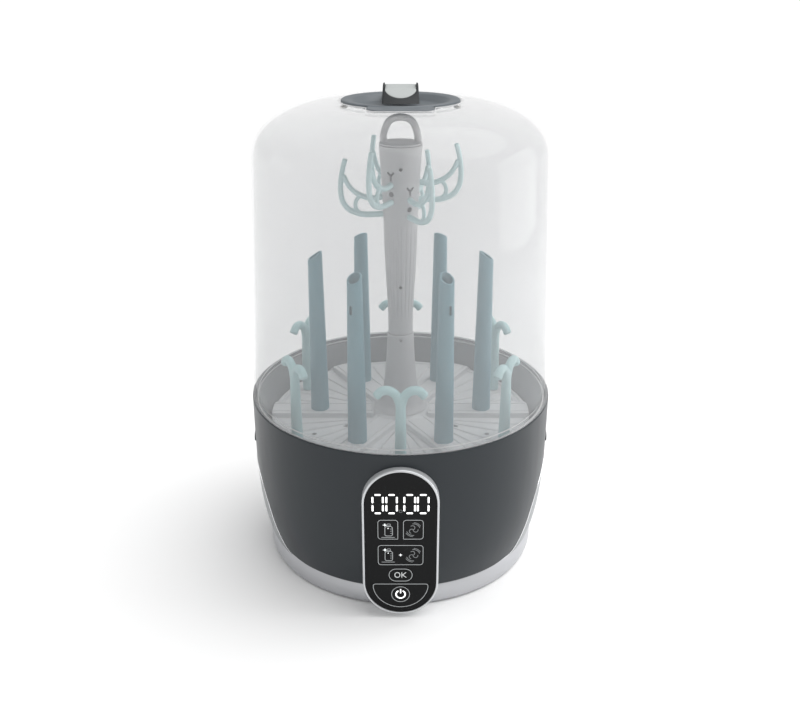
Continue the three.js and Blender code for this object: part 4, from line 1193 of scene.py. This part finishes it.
HOLDER_AQUA = plastic("holder_plastic", paint(200, 224, 225), 0.36, variation=0.08, bump=0.08)
for height, numbers in ((LOW_HOLDER, (1, 3, 5)), (HIGH_HOLDER, (2, 4, 6))):
    repeated(holder_at(height), "holder", "bracket", numbers, -30, 0, HOLDER_AQUA, "tree", "aqua")


# ----------------------------------------------------------
# Lid: one clear plastic moulding, a tall tapered wall with a domed crown. It drops inside the rim on a
# thin skirt, and an opening in the crown with a square tab at the front takes the dark plate.

LID_LOW, LID_HIGH = span("lid_dome")
LID_RADIUS = LID_HIGH[0]
LID_SEAT = LID_LOW[2] + 3
SHOULDER_HEIGHT, SHOULDER_RADIUS = 350.3, 121.25
CROWN_HEIGHT, CROWN_POWER = 53.5, 2.45
CROWN_FLAT, CROWN_EASE = 396.9, 0.7
LID_WALL = 2.6
LEDGE_TOP, LEDGE_BOTTOM = 395.2, 392.6


def opening_edge(angle, radius, half_width, reach, corner=9):
    """Distance from the axis to a round edge with a square tab at the front, for each angle."""
    arcs = rounded_outline(-half_width, -reach, half_width, -20, [corner, corner, 1, 1])[:16]
    path = evenly(np.vstack([[(-half_width, -20)], arcs, [(half_width, -20)]]), 600)
    bearing = np.arctan2(path[:, 0], -path[:, 1])
    wrapped = (angle + np.pi) % FULL_TURN - np.pi
    tab = np.interp(wrapped, bearing, np.hypot(path[:, 0], path[:, 1]), left=0, right=0)
    return np.maximum(radius, tab)


def crown_height(radius, inset):
    """Height of the crown: a quarter of a squared-off ellipse, held softly under the flat middle."""
    share = np.clip(radius / (SHOULDER_RADIUS - inset), 0, 1) ** CROWN_POWER
    free = SHOULDER_HEIGHT + (CROWN_HEIGHT - inset) * (1 - share) ** (1 / CROWN_POWER)
    return -CROWN_EASE * np.logaddexp(-free / CROWN_EASE, (inset - CROWN_FLAT) / CROWN_EASE)


def crown_rows(inset, edge, count=28):
    """Rows from the shoulder to the opening, at even steps of the ellipse's own angle."""
    power = 2 / CROWN_POWER
    last = np.arccos((edge / (SHOULDER_RADIUS - inset)) ** (1 / power))
    angle = last[None, :] * np.linspace(0, 1, count)[:, None]
    radius = (SHOULDER_RADIUS - inset) * np.cos(angle) ** power
    return list(zip(radius, crown_height(radius, inset)))


lid_angles = bearings(360)
edge = opening_edge(lid_angles, 48.4, 25.6, 61.1)
wall_share = np.linspace(0.04, 0.96, 12)
lid_rows = [(125.8, LID_LOW[2] + 0.5), (126.3, LID_LOW[2]), (127.6, LID_LOW[2]), (128.1, LID_LOW[2] + 0.4),
            (128.1, LID_SEAT), (LID_RADIUS - 0.4, LID_SEAT), (LID_RADIUS, LID_SEAT + 0.4)]
lid_rows += [(LID_RADIUS + (SHOULDER_RADIUS - LID_RADIUS) * s, LID_SEAT + (SHOULDER_HEIGHT - LID_SEAT) * s)
             for s in wall_share]
lid_rows += crown_rows(0, edge + 1.6)
lip_start = len(lid_rows)
lip = crown_height(edge + 1.6, 0)
lid_rows += [(edge + 1.5, lip), (edge + 0.4, lip), (edge, lip - 0.4), (edge, LEDGE_TOP), (42.5, LEDGE_TOP),
             (42.5, LEDGE_BOTTOM), (edge + 2, LEDGE_BOTTOM)]
lid_rows += crown_rows(LID_WALL, edge + 3)[::-1]
lid_rows += [(127.8 + (SHOULDER_RADIUS - LID_WALL - 127.8) * s, 158 + (SHOULDER_HEIGHT - 158) * s)
             for s in wall_share[::-1]]
lid_rows += [(127.8, 158), (126.1, 151.2), (126.05, 151), (125.8, 150), (125.8, 149.8), (125.8, LID_LOW[2] + 1.6),
             (125.8, LID_LOW[2] + 1.4)]
lid_grid = np.array([around(lid_angles, radius, height) for radius, height in lid_rows])
lid = surface("lid_dome_clear", lid_grid, rows_close=True, crease=40)
# Painted highlight: rows round the foot of the skirt, a band inside it just above the rim, and the lip of the
# opening are marked here. The lid's material paints them near white and less clear, as if these edges caught the
# light.
painted_highlight = np.zeros((len(lid_rows), len(lid_angles)), dtype=np.float32)
painted_highlight[[0, 1, -1, -4, -5]] = 1
painted_highlight[lip_start:lip_start + 3] = 1
lid.data.attributes.new("painted_edge_highlight", "FLOAT", "POINT").data.foreach_set("value", painted_highlight.ravel())


def clear_group():
    """Clear plastic: wipe marks, a slow ripple, a painted lightening that makes the crown more see-through than
    the wall, and a painted highlight that turns the marked edges near white and less clear.
    """
    group, given = new_group(
        "clear_moulding", Colour=(0.8, 0.8, 0.8, 1), Roughness=0.05, Wall=0.21, Crown=0.12, Edge=0.9)
    height = node(group, "SeparateXYZ", {"Vector": node(group, "TexCoord").outputs["Object"]}).outputs["Z"]
    # Painted lightening: the crown gets less alpha than the wall, so it shows lighter against what lies behind it;
    # the plastic is the same in both.
    crown_share = node(group, "MapRange", {
        "Value": height, "From Min": SHOULDER_HEIGHT * MM, "From Max": LEDGE_TOP * MM}).outputs[0]
    body = node(group, "Mix", {"Factor": crown_share, "A": given["Wall"], "B": given["Crown"]}).outputs[0]
    # Painted highlight: where the edge mark is set, the alpha rises to the edge value and the colour turns near
    # white.
    painted_highlight_mask = node(group, "Attribute", attribute_name="painted_edge_highlight").outputs["Fac"]
    alpha = node(group, "Mix", {"Factor": painted_highlight_mask, "A": body, "B": given["Edge"]}).outputs[0]
    tint = shade(group, given["Colour"], object_noise(group, 6.0), 0.04)
    painted_highlight = node(group, "Mix", {"Factor": painted_highlight_mask, "A": tint, "B": (0.9, 0.9, 0.9, 1)}, data_type="RGBA")
    wiped = object_noise(group, 1.0, 4.0, (30, 30, 9))
    rough = maths(group, "MULTIPLY_ADD", wiped, 0.05, given["Roughness"])
    ripple = object_noise(group, 10.0, 0.0, (1, 1, 0.3))
    return closed_group(group, Colour=painted_highlight.outputs["Result"], Roughness=rough, Height=ripple, Alpha=alpha)


CLEAR = material_from("clear_lid", clear_group(), {"Colour": paint(196, 197, 199), "Roughness": 0.04},
                      0.05, 0.002, [("Alpha", "Alpha")])
fitted(lid, CLEAR, "lid", "clear", "lid_dome")


# ----------------------------------------------------------
# Lid plate: a dark dished plastic disc with a front tab, let into the opening so that steam leaves round
# its edge. Two small steel screws hold it from below.

PLATE_EDGE_TOP = span("lid_plate")[1][2]
VENT_PLATE_RADIUS = 47.6
plate_angles = bearings(480)
plate_edge = opening_edge(plate_angles, VENT_PLATE_RADIUS, 25, 60.5)
inner_edge = np.minimum(plate_edge, VENT_PLATE_RADIUS)
dish = [(0, 391.1), (29.5, 391.1), (31.5, 391.4), (38.3, 394.9), (40.5, 395.3), (42.4, 395.5)]
rim = [(plate_edge - 0.6, 395.5), (plate_edge, 395.9), (plate_edge, 396.9), (plate_edge - 0.5, 397.4),
       (inner_edge - 0.2, 397.55), (inner_edge - 1.2, PLATE_EDGE_TOP), (inner_edge - 2.2, PLATE_EDGE_TOP - 0.05),
       (39.8, 397.6), (38.9, 397.1), (34.5, 393.1), (33, 392.3), (31, 392.1), (0, 392.0)]
plate_grid = np.array([around(plate_angles, radius, height) for radius, height in [*dish, *rim]])
lid_plate = surface("lid_plate_dished", plate_grid, crease=30)
PLATE_SLATE = plastic("plate_plastic", paint(108, 114, 119), 0.4, bump=0.12, Specular_IOR_Level=0.35)
fitted(lid_plate, PLATE_SLATE, "lid", "slate", "lid_plate")

for part in ("lid_screw_left", "lid_screw_right"):
    low, high = span(part)
    centre = (low + high) / 2
    head = (high[0] - low[0]) / 2
    screw_profile = softened([
        (0, low[2] + 0.9, 0), (1.2, low[2] + 0.9, 0.1), (1.3, low[2], 0.1), (head - 0.6, low[2], 0.4),
        (head, low[2] + 0.9, 0.3), (head, low[2] + 1.7, 0.1), (1.3, low[2] + 1.8, 0), (1.3, high[2], 0.2),
        (0, high[2], 0)], 3)
    fitted(turned(f"{part}_pan_head", screw_profile, 32, centre), STEEL, "lid", "steel", part)


# ----------------------------------------------------------
# Lid handle: a dark plastic strap that arches over the plate and is moulded on at its two feet, with a
# soft light grey pad let into its back.

HANDLE_LOW, HANDLE_HIGH = span("lid_handle")
HANDLE_HALF = HANDLE_HIGH[0]
HANDLE_ARC = 62
HANDLE_THICKNESS = 4.8
HANDLE_CENTRE = HANDLE_HIGH[2] - HANDLE_ARC


def strap(name, section, foot, columns=72):
    """A flat (x, depth) section carried along an arc over X and cut level at its two feet."""
    share = np.linspace(-1, 1, columns)[:, None]
    x, depth = section.T
    radius = HANDLE_ARC - depth
    spread = np.arccos((foot - HANDLE_CENTRE) / radius)
    angle = share * spread[None, :]
    flare = 1 + 0.025 * np.abs(share) ** 6
    grid = np.stack([x[None, :] * flare, radius * np.sin(angle), HANDLE_CENTRE + radius * np.cos(angle)], axis=-1)
    return surface(name, grid)


def pad_patch(name, growth, levels):
    """A long round-ended pad that lies on the strap's arc; each level is (inset, depth)."""
    half_width, half_length = 12.2 + growth, 30 + growth
    straight = half_length - half_width
    turn_angle = bearings(96)
    spine = np.where(np.sin(turn_angle) >= 0, straight, -straight)
    rows = []
    for inset, depth, share in levels:
        reach = (half_width - inset) * share
        x = reach * np.cos(turn_angle)
        y = spine + reach * np.sin(turn_angle)
        radius = HANDLE_ARC - depth
        rows.append(np.stack([x, y, HANDLE_CENTRE + np.sqrt(radius ** 2 - y ** 2)], axis=1))
    return surface(name, np.array(rows))


strap_section = softened([
    (-HANDLE_HALF, HANDLE_THICKNESS, 0.8), (HANDLE_HALF, HANDLE_THICKNESS, 0.8), (HANDLE_HALF, 0, 1.0),
    (-HANDLE_HALF, 0, 1.0)])
handle = strap("lid_handle_strap", strap_section, max(HANDLE_LOW[2], 392.2))
shares = np.linspace(0, 1, 8)
recess_levels = [(0, -3, s) for s in shares] + [(0, 1.45, s) for s in shares[::-1]]
carved(handle, [pad_patch("recess", 0.3, recess_levels)])
HANDLE_SLATE = plastic("handle_plastic", paint(20, 25, 29), 0.42, bump=0.12, Specular_IOR_Level=0.3)
fitted(handle, HANDLE_SLATE, "lid", "slate", "lid_handle")
pad_levels = [(0.6, 0.02, s) for s in shares] + [(0.25, 0.12, 1), (0.05, 0.35, 1), (0, 0.7, 1)]
pad_levels += [(0, 1.15, s) for s in shares[::-1]]
PAD_GREY = plastic("grip_pad", paint(186, 190, 189), 0.6, bump=0.25, grain=2400.0)
fitted(pad_patch("lid_grip_pad", 0, pad_levels), PAD_GREY, "lid", "grip_grey", "lid_grip")


# ----------------------------------------------------------
# Works inside the base: the heater, fan and boards are screwed to the bowl and the underside. They keep
# their plain shapes and get the finishes of real ones: metal, ceramic, black plastic and circuit board.

def board_group():
    """Circuit board: copper tracks and gaps in two greens, drawn by small bricks."""
    group, given = new_group("board_tracks", Colour=(0.02, 0.12, 0.05, 1), Track=(0.05, 0.25, 0.1, 1))
    place = node(group, "TexCoord").outputs["Object"]
    bricks = node(group, "TexBrick", {
        "Vector": place, "Color1": given["Colour"], "Color2": given["Colour"], "Mortar": given["Track"],
        "Scale": 120.0, "Mortar Size": 0.03}).outputs
    rough = maths(group, "MULTIPLY_ADD", bricks["Fac"], -0.15, 0.5)
    return closed_group(group, Colour=bricks["Color"], Roughness=rough, Height=bricks["Fac"])


BOARD = material_from("circuit_board", board_group(),
                      {"Colour": paint(24, 86, 52), "Track": paint(62, 130, 84)}, 0.2)
ELEMENT = metal("element_metal", paint(112, 108, 104), 0.45, 0.9, 0.25)
CERAMIC = plastic("ceramic", paint(206, 190, 160), 0.7, bump=0.4, grain=1200.0)
WORKS = {
    "heating_element": ELEMENT, "thermostat": CERAMIC, "fan_housing": UNDERSIDE, "fan_motor": STEEL,
    "fan_impeller": PAD_GREY, "air_heater": CERAMIC, "power_board": BOARD, "control_board": BOARD,
    "display_module": GLOSS_BLACK}
for part, finish in WORKS.items():
    for material_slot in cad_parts[part].material_slots:
        material_slot.material = finish
